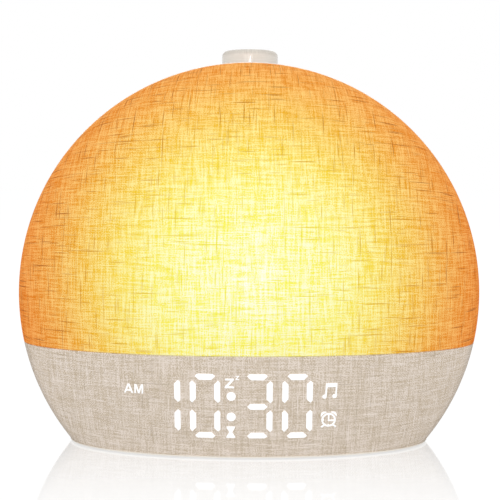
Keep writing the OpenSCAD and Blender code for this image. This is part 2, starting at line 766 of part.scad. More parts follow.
// Ribs that stiffen the housing's shoulder and stop the frame, and webs that tie the wells to the wall
module wall_ribs() {
    intersection() {
        radial_plates(wall_rib_angles, wall_rib_in_r, frame_back + slack, rib_t);
        difference() {
            bowl(wall_t - fit);
            bowl(wall_t + wall_rib_h, -overcut);
        }
    }
    intersection() {
        bowl(wall_t - fit);
        radial_plates(well_angles, well_ring_r + (well_d + well_wall) / 2, well_floor_y, rib_t);
    }
}

module rear_housing() color(shell_white) stand() difference() {
    union() {
        intersection() {
            union() {
                difference() {
                    bowl(0);
                    bowl(wall_t, -overcut);
                }
                wall_ribs();
                intersection() {                       // wells for the screws that hold the frame
                    bowl(0);
                    on_ring(well_ring_r, well_angles)
                        rod_y(0, 0, well_floor_y - well_floor_t, far / 2, well_d / 2 + well_wall);
                }
                intersection() {                       // pocket round the power inlet
                    bowl(0);
                    through_y(inlet_floor_y - inlet_floor_t, far / 2) translate([0, inlet_z])
                        rounded(inlet_w + 2 * inlet_floor_t, inlet_h + 2 * inlet_floor_t, inlet_corner + 1.2);
                }
                intersection() {                       // webs that tie the rear columns to the wall
                    bowl(wall_t - fit);
                    for (side = [0, 1]) mirror([side, 0, 0])
                        translate([foot_screw_x, foot_screw_rear - column_web_t / 2, web_low_z])
                            cube([far, column_web_t, floor_top_z + column_h - web_low_z]);
                }
            }
            level(base_z, far);
        }
        knob_seat();
        for (sx = [-1, 1]) translate([sx * foot_screw_x, foot_screw_rear, floor_top_z])
            cylinder(h = column_h, r = column_r);
        at_ears() rod_y(0, 0, flange_back_y, rear_d - wall_t + fit, ear_boss_r);
    }
    // room for the encoder, the knob's pocket and the bushing's hole
    translate([0, knob_back, seat_low_z - overcut])
        cylinder(h = can_top_z - seat_low_z + overcut, r = seat_r - 2);
    translate([0, knob_back, seat_h]) cylinder(h = far, r = seat_r);
    translate([0, knob_back, can_top_z - overcut]) cylinder(h = far, r = bushing_d / 2 + 2 * fit);
    // screw wells
    on_ring(well_ring_r, well_angles) {
        rod_y(0, 0, well_floor_y, far / 2, well_d / 2);
        rod_y(0, 0, 0, far / 2, screw_d / 2 + 4 * fit);
    }
    // grille seat and the speaker's opening
    rod_y(0, speaker_z, rear_d - grille_t, far / 2, grille_d / 2 + fit);
    rod_y(0, speaker_z, 0, far / 2, speaker_r - 0.5);
    at_ears() rod_y(0, 0, flange_back_y - overcut, rear_d - wall_t / 2, screw_d / 2 + fit);
    // power inlet
    through_y(inlet_floor_y, far / 2) translate([0, inlet_z]) rounded(inlet_w, inlet_h, inlet_corner);
    through_y(0, far / 2) translate([0, inlet_z])
        rounded(port_w + 2 * port_wall + 4 * fit, port_h + 2 * port_wall + 4 * fit, port_h / 2 - fit);
    for (sx = [-1, 1]) translate([sx * foot_screw_x, foot_screw_rear, floor_top_z - overcut])
        cylinder(h = pilot_h + overcut, r = screw_d / 2 + fit);
}

module at_ears() for (a = ear_angles) translate([ear_r * cos(a), 0, speaker_z + ear_r * sin(a)]) children();

// Sound holes in rings, six more in each ring than in the one inside it
module speaker_grille() color(shell_white) stand() difference() {
    rod_y(0, speaker_z, rear_d - grille_t, rear_d, grille_d / 2);
    rod_y(0, speaker_z, 0, far / 2, sound_hole_d / 2);
    rings = floor(surround_r / sound_hole_pitch);
    for (k = [1:rings], i = [1:6 * k]) let (a = 60 * i / k, r = k * sound_hole_pitch)
        rod_y(r * cos(a), speaker_z + r * sin(a), 0, far / 2, sound_hole_d / 2);
}

module speaker_gasket() color(black_plastic) stand() difference() {
    rod_y(0, speaker_z, flange_back_y, flange_back_y + gasket_t, speaker_r);
    rod_y(0, speaker_z, 0, far / 2, surround_r + slack);
}

module speaker_basket() color(steel) stand() difference() {
    union() {
        rod_y(0, speaker_z, flange_front_y, flange_back_y, speaker_r);
        for (a = ear_angles) translate([0, 0, speaker_z]) rotate([0, -a, 0]) {
            rod_y(ear_r, 0, flange_front_y, flange_back_y, ear_w / 2);
            translate([0, flange_front_y, -ear_w / 2]) cube([ear_r, flange_plate_t, ear_w]);
        }
        // conical basket
        translate([0, flange_front_y, speaker_z]) rotate([90, 0, 0])
            cylinder(h = flange_front_y - basket_low_y, r1 = speaker_r - flange_plate_t,
                     r2 = magnet_r + basket_seat);
    }
    translate([0, flange_front_y - basket_t, speaker_z]) rotate([90, 0, 0])
        cylinder(h = flange_front_y - basket_low_y - 2 * basket_t, r1 = surround_r, r2 = magnet_r);
    rod_y(0, speaker_z, flange_front_y - basket_t - fit, far / 2, surround_r);
    rod_y(0, speaker_z, 0, far / 2, coil_gap_r);
    for (a = [0:60:300]) rod_y(basket_hole_ring * cos(a), speaker_z + basket_hole_ring * sin(a),
        magnet_low_y, flange_front_y - 4 * basket_t, basket_hole_r);
    at_ears() rod_y(0, 0, 0, far / 2, screw_d / 2 + fit);
}

module speaker_magnet() color(black_plastic) stand() difference() {
    rod_y(0, speaker_z, magnet_low_y, basket_low_y, magnet_r);
    difference() {                                      // the gap that the voice coil moves in
        rod_y(0, speaker_z, magnet_low_y + magnet_floor_t, far / 2, coil_gap_r);
        rod_y(0, speaker_z, 0, far / 2, pole_r);
    }
}

// Cone, dust cap and the tube that carries the voice coil, turned as one piece
module speaker_cone() color(paper_grey) stand() {
    coil_y = magnet_low_y + magnet_floor_t + cone_travel + coil_floor_gap;
    neck_y = basket_low_y + cone_neck;
    wide_y = flange_back_y - flange_plate_t;
    cap_r = coil_r - cone_t;
    coil_in_r = coil_r - coil_t;
    cap = [for (a = [90:-15:0]) [cap_r * cos(a), neck_y + cap_h * sin(a)]];
    cap_in = [for (a = [0:15:90]) [(cap_r - cap_t) * cos(a), neck_y - fit + (cap_h - cap_t) * sin(a)]];
    translate([0, 0, speaker_z]) rotate([-90, 0, 0]) rotate_extrude()
        polygon(concat(cap, [[coil_r, neck_y], [cone_r, wide_y], [cone_r, wide_y - cone_t],
            [coil_r, neck_y - 0.8], [coil_r, coil_y], [coil_in_r, coil_y], [coil_in_r, neck_y - cap_t],
            [cap_r - cap_t, neck_y - cap_t]], cap_in));
}

// The soft half-roll between cone and basket
module speaker_surround() color(black_plastic) stand() {
    mid_r = (cone_r + surround_r) / 2;
    roll = (surround_r - cone_r) / 2;
    t = surround_t;
    outer = [for (a = [0:15:180]) [mid_r + roll * cos(a), roll * surround_rise * sin(a)]];
    inner = [for (a = [180:-15:0]) [mid_r + (roll - t) * cos(a), (roll * surround_rise - t) * sin(a)]];
    translate([0, flange_back_y - flange_plate_t + fit, speaker_z]) rotate([-90, 0, 0]) rotate_extrude()
        polygon(concat(outer, [[cone_r, -t], [cone_r + t, -t]],
            inner, [[surround_r - t, -t], [surround_r, -t]]));
}

// ---- Knob and encoder ----

// A round bore or shaft with one flat side
module flatted(r, flat) difference() {
    circle(r = r);
    translate([flat, -r]) square([2 * r, 2 * r]);
}

module knob() color(knob_cream) stand() translate([0, knob_back, 0]) difference() {
    turn_r = knob_r - knob_round;
    turn_z = knob_top_z - knob_round;
    corner = [for (a = [0:9:90]) [turn_r + knob_round * cos(a), turn_z + knob_round * sin(a)]];
    rotate_extrude() polygon(concat([[0, knob_low_z], [knob_r - knob_chamfer, knob_low_z],
        [knob_r, knob_low_z + knob_chamfer]], corner, [[0, knob_top_z]]));
    translate([0, 0, knob_low_z - overcut]) difference() {
        cylinder(h = knob_top_z - knob_wall - knob_low_z + overcut, r = knob_r - knob_wall);
        translate([0, 0, hub_low_z - knob_low_z + overcut]) cylinder(h = knob_h, r = shaft_r + hub_wall);
        for (a = [45:90:315]) rotate(a)
            translate([shaft_r + hub_wall / 2, -knob_rib_t / 2, hub_low_z + 0.6 - knob_low_z + overcut])
                cube([knob_r, knob_rib_t, knob_h]);
    }
    translate([0, 0, knob_low_z - overcut]) linear_extrude(knob_top_z - knob_wall - knob_low_z + overcut)
        flatted(shaft_r + shaft_fit, shaft_flat + shaft_fit);
}

module encoder_shaft() color(steel) stand() translate([0, knob_back, 0]) {
    key_top_z = rotor_z + rotor_t + 0.8;
    translate([0, 0, hub_low_z]) linear_extrude(shaft_top_z - hub_low_z) flatted(shaft_r, shaft_flat);
    translate([0, 0, key_top_z]) cylinder(h = hub_low_z - key_top_z, r = shaft_r);
    translate([0, 0, shaft_low_z]) linear_extrude(key_top_z - shaft_low_z) flatted(key_r, key_flat);
}

module encoder_rotor() color(black_plastic) stand() translate([0, knob_back, rotor_z])
    linear_extrude(rotor_t) difference() {
        circle(d = can_w - 2 * can_wall - 1);
        flatted(key_r + fit, key_flat + fit);
    }

module switch_plunger() color(nylon_white) stand() translate([0, knob_back, plunger_z])
    cylinder(h = plunger_t, r = key_r - slack);

// The click dome under the plunger, a thin sprung cap
module snap_dome() color(brass) stand() translate([0, knob_back, dome_base_z]) rotate_extrude() {
    outer = [for (a = [0:15:90]) [dome_r * cos(a), dome_h * sin(a)]];
    inner = [for (a = [90:-15:0]) [(dome_r - dome_t) * cos(a), (dome_h - dome_t) * sin(a)]];
    polygon(concat(outer, inner));
}

// The encoder's case with its threaded neck
module encoder_can() color(steel) stand() translate([0, knob_back, 0]) difference() {
    union() {
        translate([-can_w / 2, -can_w / 2, can_low_z]) cube([can_w, can_w, can_h]);
        translate([0, 0, can_top_z - fit]) cylinder(h = bushing_h + fit, r = bushing_d / 2);
    }
    translate([0, 0, dome_base_z])
        cylinder(h = rotor_z + rotor_t + slack - dome_base_z, r = can_w / 2 - can_wall);
    translate([0, 0, rotor_z]) cylinder(h = can_top_z + bushing_h + overcut - rotor_z, r = shaft_r + fit);
}

module encoder_nut() color(steel) stand() translate([0, knob_back, seat_h + washer_t]) difference() {
    cylinder(h = nut_t, d = nut_af / cos(30), $fn = 6);
    translate([0, 0, -overcut]) cylinder(h = nut_t + 2 * overcut, r = bushing_d / 2 + fit);
}

module encoder_washer() color(steel) stand() translate([0, knob_back, seat_h]) difference() {
    cylinder(h = washer_t, d = nut_af + 1.6);
    translate([0, 0, -overcut]) cylinder(h = washer_t + 2 * overcut, r = bushing_d / 2 + fit);
}

module encoder_board() color(board_green) stand() translate([0, knob_back, can_low_z - board_t])
    linear_extrude(board_t) rounded(encoder_board_w, encoder_board_w, 1.5);

// ---- Power inlet ----

module power_inlet() color(steel) stand() difference() {
    through_y(inlet_floor_y - port_l, inlet_floor_y) translate([0, inlet_z])
        rounded(port_w + 2 * port_wall, port_h, port_h / 2 - fit);
    through_y(inlet_floor_y - port_l + port_wall, far / 2) translate([0, inlet_z])
        rounded(port_w, port_h - 2 * port_wall, port_h / 2 - port_wall - fit);
}

module inlet_tongue() color(black_plastic) stand()
    translate([-tongue_w / 2, inlet_floor_y - port_l + port_wall, inlet_z - tongue_t / 2])
        cube([tongue_w, port_l - 2 * tongue_t, tongue_t]);

module power_board() color(board_green) stand()
    translate([-power_board_w / 2, power_board_y, power_board_top - board_t])
        cube([power_board_w, power_board_l, board_t]);

// ---- Base ----

module at_foot_screws(z) for (sx = [-1, 1], y = [foot_screw_front, foot_screw_rear])
    translate([sx * foot_screw_x, y, z]) children();

module footprint(shell_inset, bowl_inset) {
    crown(shell_inset);
    bowl(bowl_inset);
}

module pad_outline(w_trim = 0) {
    r = pad_w / 2 - w_trim;
    square([pad_l - pad_w, 2 * r], center = true);
    for (s = [-1, 1]) translate([s * (pad_l - pad_w) / 2, 0]) circle(r = r);
}

module base_plate() color(shell_white) stand() difference() {
    union() {
        intersection() {
            footprint(-rim_step, 0);
            level(floor_z, base_z);
        }
        difference() {
            intersection() {                           // raised floor and its locating wall
                footprint(shell_in + slack, wall_t + slack);
                level(base_z - fit, floor_top_z + locating_h);
            }
            intersection() {
                footprint(shell_in + slack + locating_t, wall_t + slack + locating_t);
                level(floor_top_z, far);
            }
        }
        for (sx = [-1, 1]) translate([sx * (power_board_w / 2 - 3), power_board_y + 4, floor_top_z - fit])
            cylinder(h = power_board_top - board_t - floor_top_z + fit, r = 2.4);
    }
    // room for the columns and flanges that come down to the floor
    at_foot_screws(floor_top_z) cylinder(h = 10, r = column_r + slack);
    translate([-far / 2, -flange_t - slack, floor_top_z]) cube([far, flange_t + frame_back + 2 * slack, 10]);
    // foot pad's recess and the screws' holes
    translate([0, -rim_y, floor_z - overcut]) linear_extrude(pad_sunk + overcut) pad_outline(-0.1);
    at_foot_screws(floor_z - overcut) {
        cylinder(h = base_t + 2 * overcut, r = screw_d / 2 + 4 * fit);
        cylinder(h = foot_head_t + overcut, r = head_d / 2 + slack);
    }
}

module foot_pad() color(rubber_grey) linear_extrude(pad_proud + pad_sunk) pad_outline();

// ---- Fasteners ----

module housing_screws() color(steel) stand() on_ring(well_ring_r, well_angles) panel_screw(0.5, well_floor_y);

module front_screws() color(steel) stand()
    on_ring(boss_ring_r, concat(dome_boss_angles, band_boss_angles)) panel_screw(1.6 - boss_d, frame_t);

module board_screws() color(steel) stand() {
    for (p = main_posts) translate([p[0], 0, p[1]]) panel_screw(0.3, main_face);
    for (p = light_posts) translate([p[0], 0, p[1]]) mirror([0, 1, 0])
        panel_screw(-frame_t + 0.3, -light_face);
}

module display_screws() color(steel) stand()
    for (p = display_posts) translate([p[0], 0, p[1]])
        panel_screw(display_back - display_screw_bite + 0.4, frame_t);

module speaker_screws() color(steel) stand() at_ears() mirror([0, 1, 0])
    panel_screw(-(rear_d - wall_t + 1), -flange_front_y);

module base_screws() color(steel) stand() at_foot_screws(floor_z) {
    translate([0, 0, foot_head_t]) cylinder(h = pilot_h - overcut, r = screw_d / 2);
    translate([0, 0, 2 * fit]) cylinder(h = foot_head_t - 2 * fit, r = head_d / 2);
}

dome_fabric();
display_fabric();
time_digits();
dome_diffuser();
display_shell();
light_box();
segment_lenses();
display_board();
display_leds();
front_frame();
reflector_sheet();
light_board();
light_leds();
main_board();
board_chips();
board_capacitors();
board_connectors();
rear_housing();
speaker_grille();
speaker_gasket();
speaker_basket();
speaker_magnet();
speaker_cone();
speaker_surround();
base_plate();
foot_pad();
knob();
encoder_shaft();
encoder_rotor();
switch_plunger();
snap_dome();
encoder_can();
encoder_nut();
encoder_washer();
encoder_board();
power_inlet();
inlet_tongue();
power_board();
light_cable();
display_cable();
encoder_cable();
power_cable();
speaker_leads();
housing_screws();
front_screws();
board_screws();
display_screws();
speaker_screws();
base_screws();
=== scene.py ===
import json
import math

import bpy
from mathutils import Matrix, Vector


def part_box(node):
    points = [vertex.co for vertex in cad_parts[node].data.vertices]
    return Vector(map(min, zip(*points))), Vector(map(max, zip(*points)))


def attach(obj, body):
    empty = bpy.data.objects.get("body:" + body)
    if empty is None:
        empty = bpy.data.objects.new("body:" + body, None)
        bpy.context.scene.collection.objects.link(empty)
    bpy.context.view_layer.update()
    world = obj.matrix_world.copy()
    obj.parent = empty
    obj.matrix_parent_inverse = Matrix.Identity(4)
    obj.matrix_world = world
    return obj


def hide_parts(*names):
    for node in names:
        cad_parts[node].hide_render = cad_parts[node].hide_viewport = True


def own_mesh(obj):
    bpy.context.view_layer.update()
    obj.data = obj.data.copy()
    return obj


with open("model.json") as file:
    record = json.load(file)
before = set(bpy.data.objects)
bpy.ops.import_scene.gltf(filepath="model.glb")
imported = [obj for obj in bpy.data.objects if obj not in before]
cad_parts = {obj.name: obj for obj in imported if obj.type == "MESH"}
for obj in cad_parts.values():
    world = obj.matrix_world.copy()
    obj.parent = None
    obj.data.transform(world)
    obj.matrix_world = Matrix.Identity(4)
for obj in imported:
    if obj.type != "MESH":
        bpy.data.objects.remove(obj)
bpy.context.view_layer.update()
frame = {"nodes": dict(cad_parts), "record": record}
clockBody = "clock"

# Places that every piece takes from the frame, in metres
domeLow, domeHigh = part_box("dome_fabric")
bandLow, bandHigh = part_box("display_fabric")
frontRadius = domeHigh.x
rim = Vector((0, domeHigh.y, domeHigh.z - frontRadius))   # middle of the circle where the cloth front ends
crownDepth = rim.y - domeLow.y
knobLow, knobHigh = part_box("knob")
knobMiddle = (knobLow + knobHigh) / 2
mm = 0.001
mergeWithin = 1e-6
smoothUnder = math.radians(35)  # a steeper edge stays sharp


def toLinear(hexColour):
    channels = [int(hexColour[i:i + 2], 16) / 255 for i in (1, 3, 5)]
    return [c / 12.92 if c <= 0.04045 else ((c + 0.055) / 1.055) ** 2.4 for c in channels] + [1.0]


def addNode(tree, kind, inputs=None, **settings):
    # inputs, in order or by name, are values, sockets, or nodes that give their first output
    made = tree.nodes.new(kind)
    for name, value in settings.items():
        setattr(made, name, value)
    given = inputs.items() if isinstance(inputs, dict) else enumerate(inputs or [])
    for name, value in given:
        if isinstance(value, bpy.types.Node):
            value = value.outputs[0]
        if isinstance(value, bpy.types.NodeSocket):
            tree.links.new(value, made.inputs[name])
        else:
            made.inputs[name].default_value = value
    return made


def newMaterial(name):
    material = bpy.data.materials.new(name)
    material.use_nodes = True
    tree = material.node_tree
    tree.nodes.clear()
    shader = addNode(tree, "ShaderNodeBsdfPrincipled")
    addNode(tree, "ShaderNodeOutputMaterial", {"Surface": shader})
    return material, tree, shader


def setRamp(ramp, stops):
    elements = ramp.color_ramp.elements
    while len(elements) < len(stops):
        elements.new(0.5)
    for element, (place, colour) in zip(elements, stops):
        element.position = place
        element.color = colour


def selectOnly(piece):
    bpy.ops.object.select_all(action="DESELECT")
    piece.select_set(True)
    bpy.context.view_layer.objects.active = piece


def applyModifier(piece, kind, **settings):
    modifier = piece.modifiers.new(kind.lower(), kind)
    for name, value in settings.items():
        setattr(modifier, name, value)
    selectOnly(piece)
    bpy.ops.object.modifier_apply(modifier=modifier.name)


def wear(piece, material):
    piece.data.materials.clear()
    piece.data.materials.append(material)


view = {
    "inFront": 0.5,             # metres from the middle of the rim
    "above": 0.0536,
    "right": 0.0002,
    "pitchDown": 3.93,          # degrees
    "rightSideLower": 0.22,     # degrees, as the camera was held
    "lens": 83.2,               # mm
    "sensor": 36,
    "nearest": 0.01,            # metres
}


def setUpCamera():
    place = (view["right"], rim.y - view["inFront"], rim.z + view["above"])
    turn = (math.radians(90 - view["pitchDown"]), math.radians(-view["rightSideLower"]), 0)
    bpy.ops.object.camera_add(location=place, rotation=turn)
    camera = bpy.context.object
    camera.data.lens = view["lens"]
    camera.data.sensor_width = view["sensor"]
    camera.data.clip_start = view["nearest"]
    bpy.context.scene.camera = camera


studio = {
    "floorSize": 12.0,
    "floorColour": "#5c5d60",
    "floorRoughness": 0.5,
    "floorLift": 0.94,          # what the camera sees added, so that the open floor is white
    "floorBounce": 0.42,        # and what lights the clock from below
    "mirrorRoughness": 0.05,
    "mirrorNear": 0.4,          # share of the mirror image in the floor at the clock's foot
    "mirrorFar": 0.02,          # and away from it
    "mirrorFrom": 0.02,         # metres from the clock's middle where it starts to fade
    "mirrorTo": 0.13,
    "surround": 0.55,           # how strongly the white room lights the clock
    "frontLamp": {"place": (-0.15, -1.5, 0.75), "aim": rim, "size": 1.1, "power": 6.9},
    "leftLamp": {"place": (-1.25, -0.85, 0.85), "aim": rim, "size": 0.8, "power": 7.7},
    "rightLamp": {"place": (1.25, -0.8, 0.85), "aim": rim, "size": 0.8, "power": 8.1},
    "backLamp": {"place": (0.2, 1.5, 1.0), "aim": rim, "size": 1.0, "power": 5.0},
    # a narrow box with a grid that keeps its light within 16 degrees, so that it lights little but the knob
    "knobLamp": {"place": (0.0, -0.9, 0.25), "aim": knobMiddle, "size": 0.04, "power": 0.006,
                 "height": 0.12, "spread": 16},
}


def seenDirectly(tree):
    # 1 for what the camera sees, in mirrors and through glass too, 0 for the light that falls on the clock
    rays = addNode(tree, "ShaderNodeLightPath").outputs
    straight, mirrored, through = rays["Is Camera Ray"], rays["Is Glossy Ray"], rays["Is Transmission Ray"]
    either = addNode(tree, "ShaderNodeMath", [straight, mirrored], operation="MAXIMUM")
    return addNode(tree, "ShaderNodeMath", [either, through], operation="MAXIMUM")


def polishedFloor():
    # White acrylic sheet, polished: a faint mirror image under the clock that fades to its front
    material, tree, shader = newMaterial("whiteAcrylicSheet")
    shader.inputs["Base Color"].default_value = toLinear(studio["floorColour"])
    shader.inputs["Roughness"].default_value = studio["floorRoughness"]
    shader.inputs["Specular IOR Level"].default_value = 0.0
    strength = addNode(tree, "ShaderNodeMapRange", {
        "Value": seenDirectly(tree), "To Min": studio["floorBounce"], "To Max": studio["floorLift"]})
    lift = addNode(tree, "ShaderNodeEmission", {"Color": (1, 1, 1, 1), "Strength": strength})
    sheet = addNode(tree, "ShaderNodeAddShader", [shader, lift])
    mirror = addNode(tree, "ShaderNodeBsdfPrincipled", {
        "Base Color": (1, 1, 1, 1), "Metallic": 1.0, "Roughness": studio["mirrorRoughness"]})
    place = addNode(tree, "ShaderNodeTexCoord").outputs["Object"]
    toFront = addNode(tree, "ShaderNodeSeparateXYZ", [place]).outputs["Y"]
    distance = addNode(tree, "ShaderNodeMath", [toFront], operation="ABSOLUTE")
    share = addNode(tree, "ShaderNodeMapRange", {
        "Value": distance, "From Min": studio["mirrorFrom"], "From Max": studio["mirrorTo"],
        "To Min": studio["mirrorNear"], "To Max": studio["mirrorFar"]})
    both = addNode(tree, "ShaderNodeMixShader", [share, sheet, mirror])
    tree.links.new(both.outputs[0], tree.nodes["Material Output"].inputs["Surface"])
    return material


def setUpStudio():
    bpy.ops.mesh.primitive_plane_add(size=studio["floorSize"], location=(0, 0, 0))
    floor = bpy.context.object
    floor.name = "studioFloor"
    wear(floor, polishedFloor())

    world = bpy.data.worlds.new("whiteRoom")
    bpy.context.scene.world = world
    world.use_nodes = True
    tree = world.node_tree
    tree.nodes.clear()
    strength = addNode(tree, "ShaderNodeMapRange", {
        "Value": seenDirectly(tree), "To Min": studio["surround"], "To Max": 1.0})
    background = addNode(tree, "ShaderNodeBackground", {"Color": (1, 1, 1, 1), "Strength": strength})
    addNode(tree, "ShaderNodeOutputWorld", {"Surface": background})

    for name in ("frontLamp", "leftLamp", "rightLamp", "backLamp", "knobLamp"):
        lamp = studio[name]
        place = Vector(lamp["place"])
        turn = (lamp["aim"] - place).to_track_quat("-Z", "Y").to_euler()
        bpy.ops.object.light_add(type="AREA", location=place, rotation=turn)
        light = bpy.context.object
        light.name = name
        light.data.energy = lamp["power"]
        light.data.size = lamp["size"]
        if "height" in lamp:
            light.data.shape = "RECTANGLE"
            light.data.size_y = lamp["height"]
            light.data.spread = math.radians(lamp["spread"])


setUpCamera()
setUpStudio()
bpy.context.scene.view_settings.view_transform = "Standard"
print("camera and studio ready")


weave = {
    "span": 0.25,           # metres of cloth that the UV square covers
    "pitch": 0.58,          # mm between threads, 17 to a centimetre
    "strand": 0.4,          # mm, width of the strands of a thread
    "streakLength": 8.0,    # mm, along which a strand keeps its tone
    "bandLength": 15.0,     # mm, length of a bunch of like threads
    "bandWidth": 2.4,       # mm, its width
    "slubLength": 13.0,     # mm, about twice the length of a slub
    "slubFrom": 0.635,      # noise at which a thread starts to swell, and is thickest
    "slubFull": 0.86,
    "paleFrom": 0.64,       # the same for the thin, pale stretches
    "paleFull": 0.84,
    "tip": 0.5,             # where between gap and middle a swelling's edge lies at its tip
    "taper": 0.6,           # how much further out it lies where the swelling is thickest
    "slubHeight": 0.8,      # relief of a slub and of a crossing, where a thread's own is 1
    "crossingHeight": 0.5,
    "grain": 0.42,          # mm, size of the finest mottling
    "patch": 9.0,           # mm, patches in which the weave shows more or less
    "patchFrom": 0.35,      # noise at which it shows least, and most
    "patchTo": 0.65,
    "patchLeast": 0.3,      # share of the weave that then still shows
    "waver": 0.5,           # mm that a thread strays from straight
    "waverLength": 26.0,    # mm over which it does
    "warpSeed": 50,         # what the warp's seed has over the weft's
}
# Each noise along the threads steps its own way from row to row, so that no two look alike
threadNoises = {
    "streak": {"rowStep": 3.737, "seed": 0.3, "detail": 1.0},
    "slub": {"rowStep": 5.173, "seed": 7.1, "detail": 0.0},
    "pale": {"rowStep": 6.291, "seed": 13.9, "detail": 0.0},
}


def threadSet():
    # One direction of the weave. In: mm along and across the threads. Out: how pale the cloth is there,
    # how much of a slub it is, and its height
    tree = bpy.data.node_groups.new("slubThreads", "ShaderNodeTree")
    for name in ("Along", "Across", "Seed", "Streak", "Band", "Pale"):
        tree.interface.new_socket(name, in_out="INPUT", socket_type="NodeSocketFloat")
    for name in ("Tone", "Slub", "Relief"):
        tree.interface.new_socket(name, in_out="OUTPUT", socket_type="NodeSocketFloat")
    given = addNode(tree, "NodeGroupInput").outputs
    threads = addNode(tree, "ShaderNodeMath", [given["Across"], weave["pitch"]], operation="DIVIDE")
    strands = addNode(tree, "ShaderNodeMath", [given["Across"], weave["strand"]], operation="DIVIDE")
    fromGap = addNode(tree, "ShaderNodeMath", [threads, 0.5], operation="PINGPONG")
    inThread = addNode(tree, "ShaderNodeMath", [fromGap, 2.0], operation="MULTIPLY")   # 1 in its middle

    def alongThread(kind, length, rows):
        # noise that runs along a thread and is unrelated from one thread to the next
        noise = threadNoises[kind]
        along = addNode(tree, "ShaderNodeMath", [given["Along"], length], operation="DIVIDE")
        whole = addNode(tree, "ShaderNodeMath", [rows], operation="FLOOR")
        row = addNode(tree, "ShaderNodeMath", [whole, noise["rowStep"]], operation="MULTIPLY")
        seed = addNode(tree, "ShaderNodeMath", [given["Seed"], noise["seed"]], operation="ADD")
        place = addNode(tree, "ShaderNodeCombineXYZ", [along, row, seed])
        return addNode(tree, "ShaderNodeTexNoise", {"Vector": place, "Scale": 1.0, "Detail": noise["detail"]})

    def swelling(kind):
        # a stretch of thread that tapers to both ends
        thick = addNode(tree, "ShaderNodeMapRange", {
            "Value": alongThread(kind, weave["slubLength"], threads),
            "From Min": weave[kind + "From"], "From Max": weave[kind + "Full"]})
        edge = addNode(tree, "ShaderNodeMath", [thick, -weave["taper"], weave["tip"]],
                       operation="MULTIPLY_ADD")
        inside = addNode(tree, "ShaderNodeMapRange", {"Value": inThread, "From Min": edge},
                         interpolation_type="SMOOTHSTEP")
        return addNode(tree, "ShaderNodeMath", [thick, inside], operation="MULTIPLY")

    streak = alongThread("streak", weave["streakLength"], strands)
    slub = swelling("slub")
    pale = swelling("pale")
    bandAlong = addNode(tree, "ShaderNodeMath", [given["Along"], weave["bandLength"]], operation="DIVIDE")
    bandAcross = addNode(tree, "ShaderNodeMath", [given["Across"], weave["bandWidth"]], operation="DIVIDE")
    bandPlace = addNode(tree, "ShaderNodeCombineXYZ", [bandAlong, bandAcross, given["Seed"]])
    band = addNode(tree, "ShaderNodeTexNoise", {"Vector": bandPlace, "Scale": 1.0, "Detail": 1.0})
    tone = addNode(tree, "ShaderNodeMath", [pale, given["Pale"]], operation="MULTIPLY")
    tone = addNode(tree, "ShaderNodeMath", [band, given["Band"], tone], operation="MULTIPLY_ADD")
    tone = addNode(tree, "ShaderNodeMath", [streak, given["Streak"], tone], operation="MULTIPLY_ADD")
    relief = addNode(tree, "ShaderNodeMath", [slub, weave["slubHeight"], inThread], operation="MULTIPLY_ADD")
    addNode(tree, "NodeGroupOutput", {"Tone": tone, "Slub": slub, "Relief": relief})
    return tree


slubThreads = threadSet()


def clothPattern(tree, look):
    # (tone, slub, relief) of the cloth from its own UV map; a tone of 0.5 is the cloth's mean
    uv = addNode(tree, "ShaderNodeUVMap", uv_map="cloth")
    place = addNode(tree, "ShaderNodeVectorMath", {0: uv, "Scale": weave["span"] / mm}, operation="SCALE")
    drift = addNode(tree, "ShaderNodeTexNoise", {
        "Vector": place, "Scale": 1 / weave["waverLength"], "Detail": 1.0}).outputs["Color"]
    drift = addNode(tree, "ShaderNodeVectorMath", [drift, (0.5, 0.5, 0.5)], operation="SUBTRACT")
    strayed = addNode(tree, "ShaderNodeVectorMath", [drift, [2 * weave["waver"]] * 3, place],
                      operation="MULTIPLY_ADD")
    u, v = addNode(tree, "ShaderNodeSeparateXYZ", [strayed]).outputs[:2]
    shares = {"Streak": look["streak"], "Band": look["band"], "Pale": look["pale"]}
    weft, warp = [
        addNode(tree, "ShaderNodeGroup", {"Along": along, "Across": across, "Seed": seed, **shares},
                node_tree=slubThreads).outputs
        for along, across, seed in ((u, v, look["seed"]), (v, u, look["seed"] + weave["warpSeed"]))]
    tone = addNode(tree, "ShaderNodeMath", [weft["Tone"], warp["Tone"]], operation="ADD")
    slub = addNode(tree, "ShaderNodeMath", [weft["Slub"], warp["Slub"]], operation="MAXIMUM")
    relief = addNode(tree, "ShaderNodeMath", [weft["Relief"], warp["Relief"]], operation="MAXIMUM")
    # over one thread and under the next, more in some patches than in others
    turn = math.pi / weave["pitch"]
    angles = [addNode(tree, "ShaderNodeMath", [at, turn], operation="MULTIPLY") for at in (u, v)]
    waves = [addNode(tree, "ShaderNodeMath", [angle], operation="COSINE") for angle in angles]
    crossing = addNode(tree, "ShaderNodeMath", waves, operation="MULTIPLY")
    patch = addNode(tree, "ShaderNodeTexNoise", {"Vector": place, "Scale": 1 / weave["patch"], "Detail": 0.0})
    patch = addNode(tree, "ShaderNodeMapRange", {
        "Value": patch, "From Min": weave["patchFrom"], "From Max": weave["patchTo"],
        "To Min": weave["patchLeast"] * look["crossing"], "To Max": look["crossing"]})
    tone = addNode(tree, "ShaderNodeMath", [crossing, patch, tone], operation="MULTIPLY_ADD")
    relief = addNode(tree, "ShaderNodeMath", [crossing, weave["crossingHeight"], relief],
                     operation="MULTIPLY_ADD")
    grain = addNode(tree, "ShaderNodeTexNoise", {"Vector": place, "Scale": 1 / weave["grain"], "Detail": 0.0})
    tone = addNode(tree, "ShaderNodeMath", [grain, look["grain"], tone], operation="MULTIPLY_ADD")
    # both threads add their noises, a noise is 0.5 on average, and the mean tone is to be 0.5
    level = 0.5 - look["streak"] - look["band"] - look["grain"] / 2
    return addNode(tree, "ShaderNodeMath", [tone, level], operation="ADD"), slub, relief


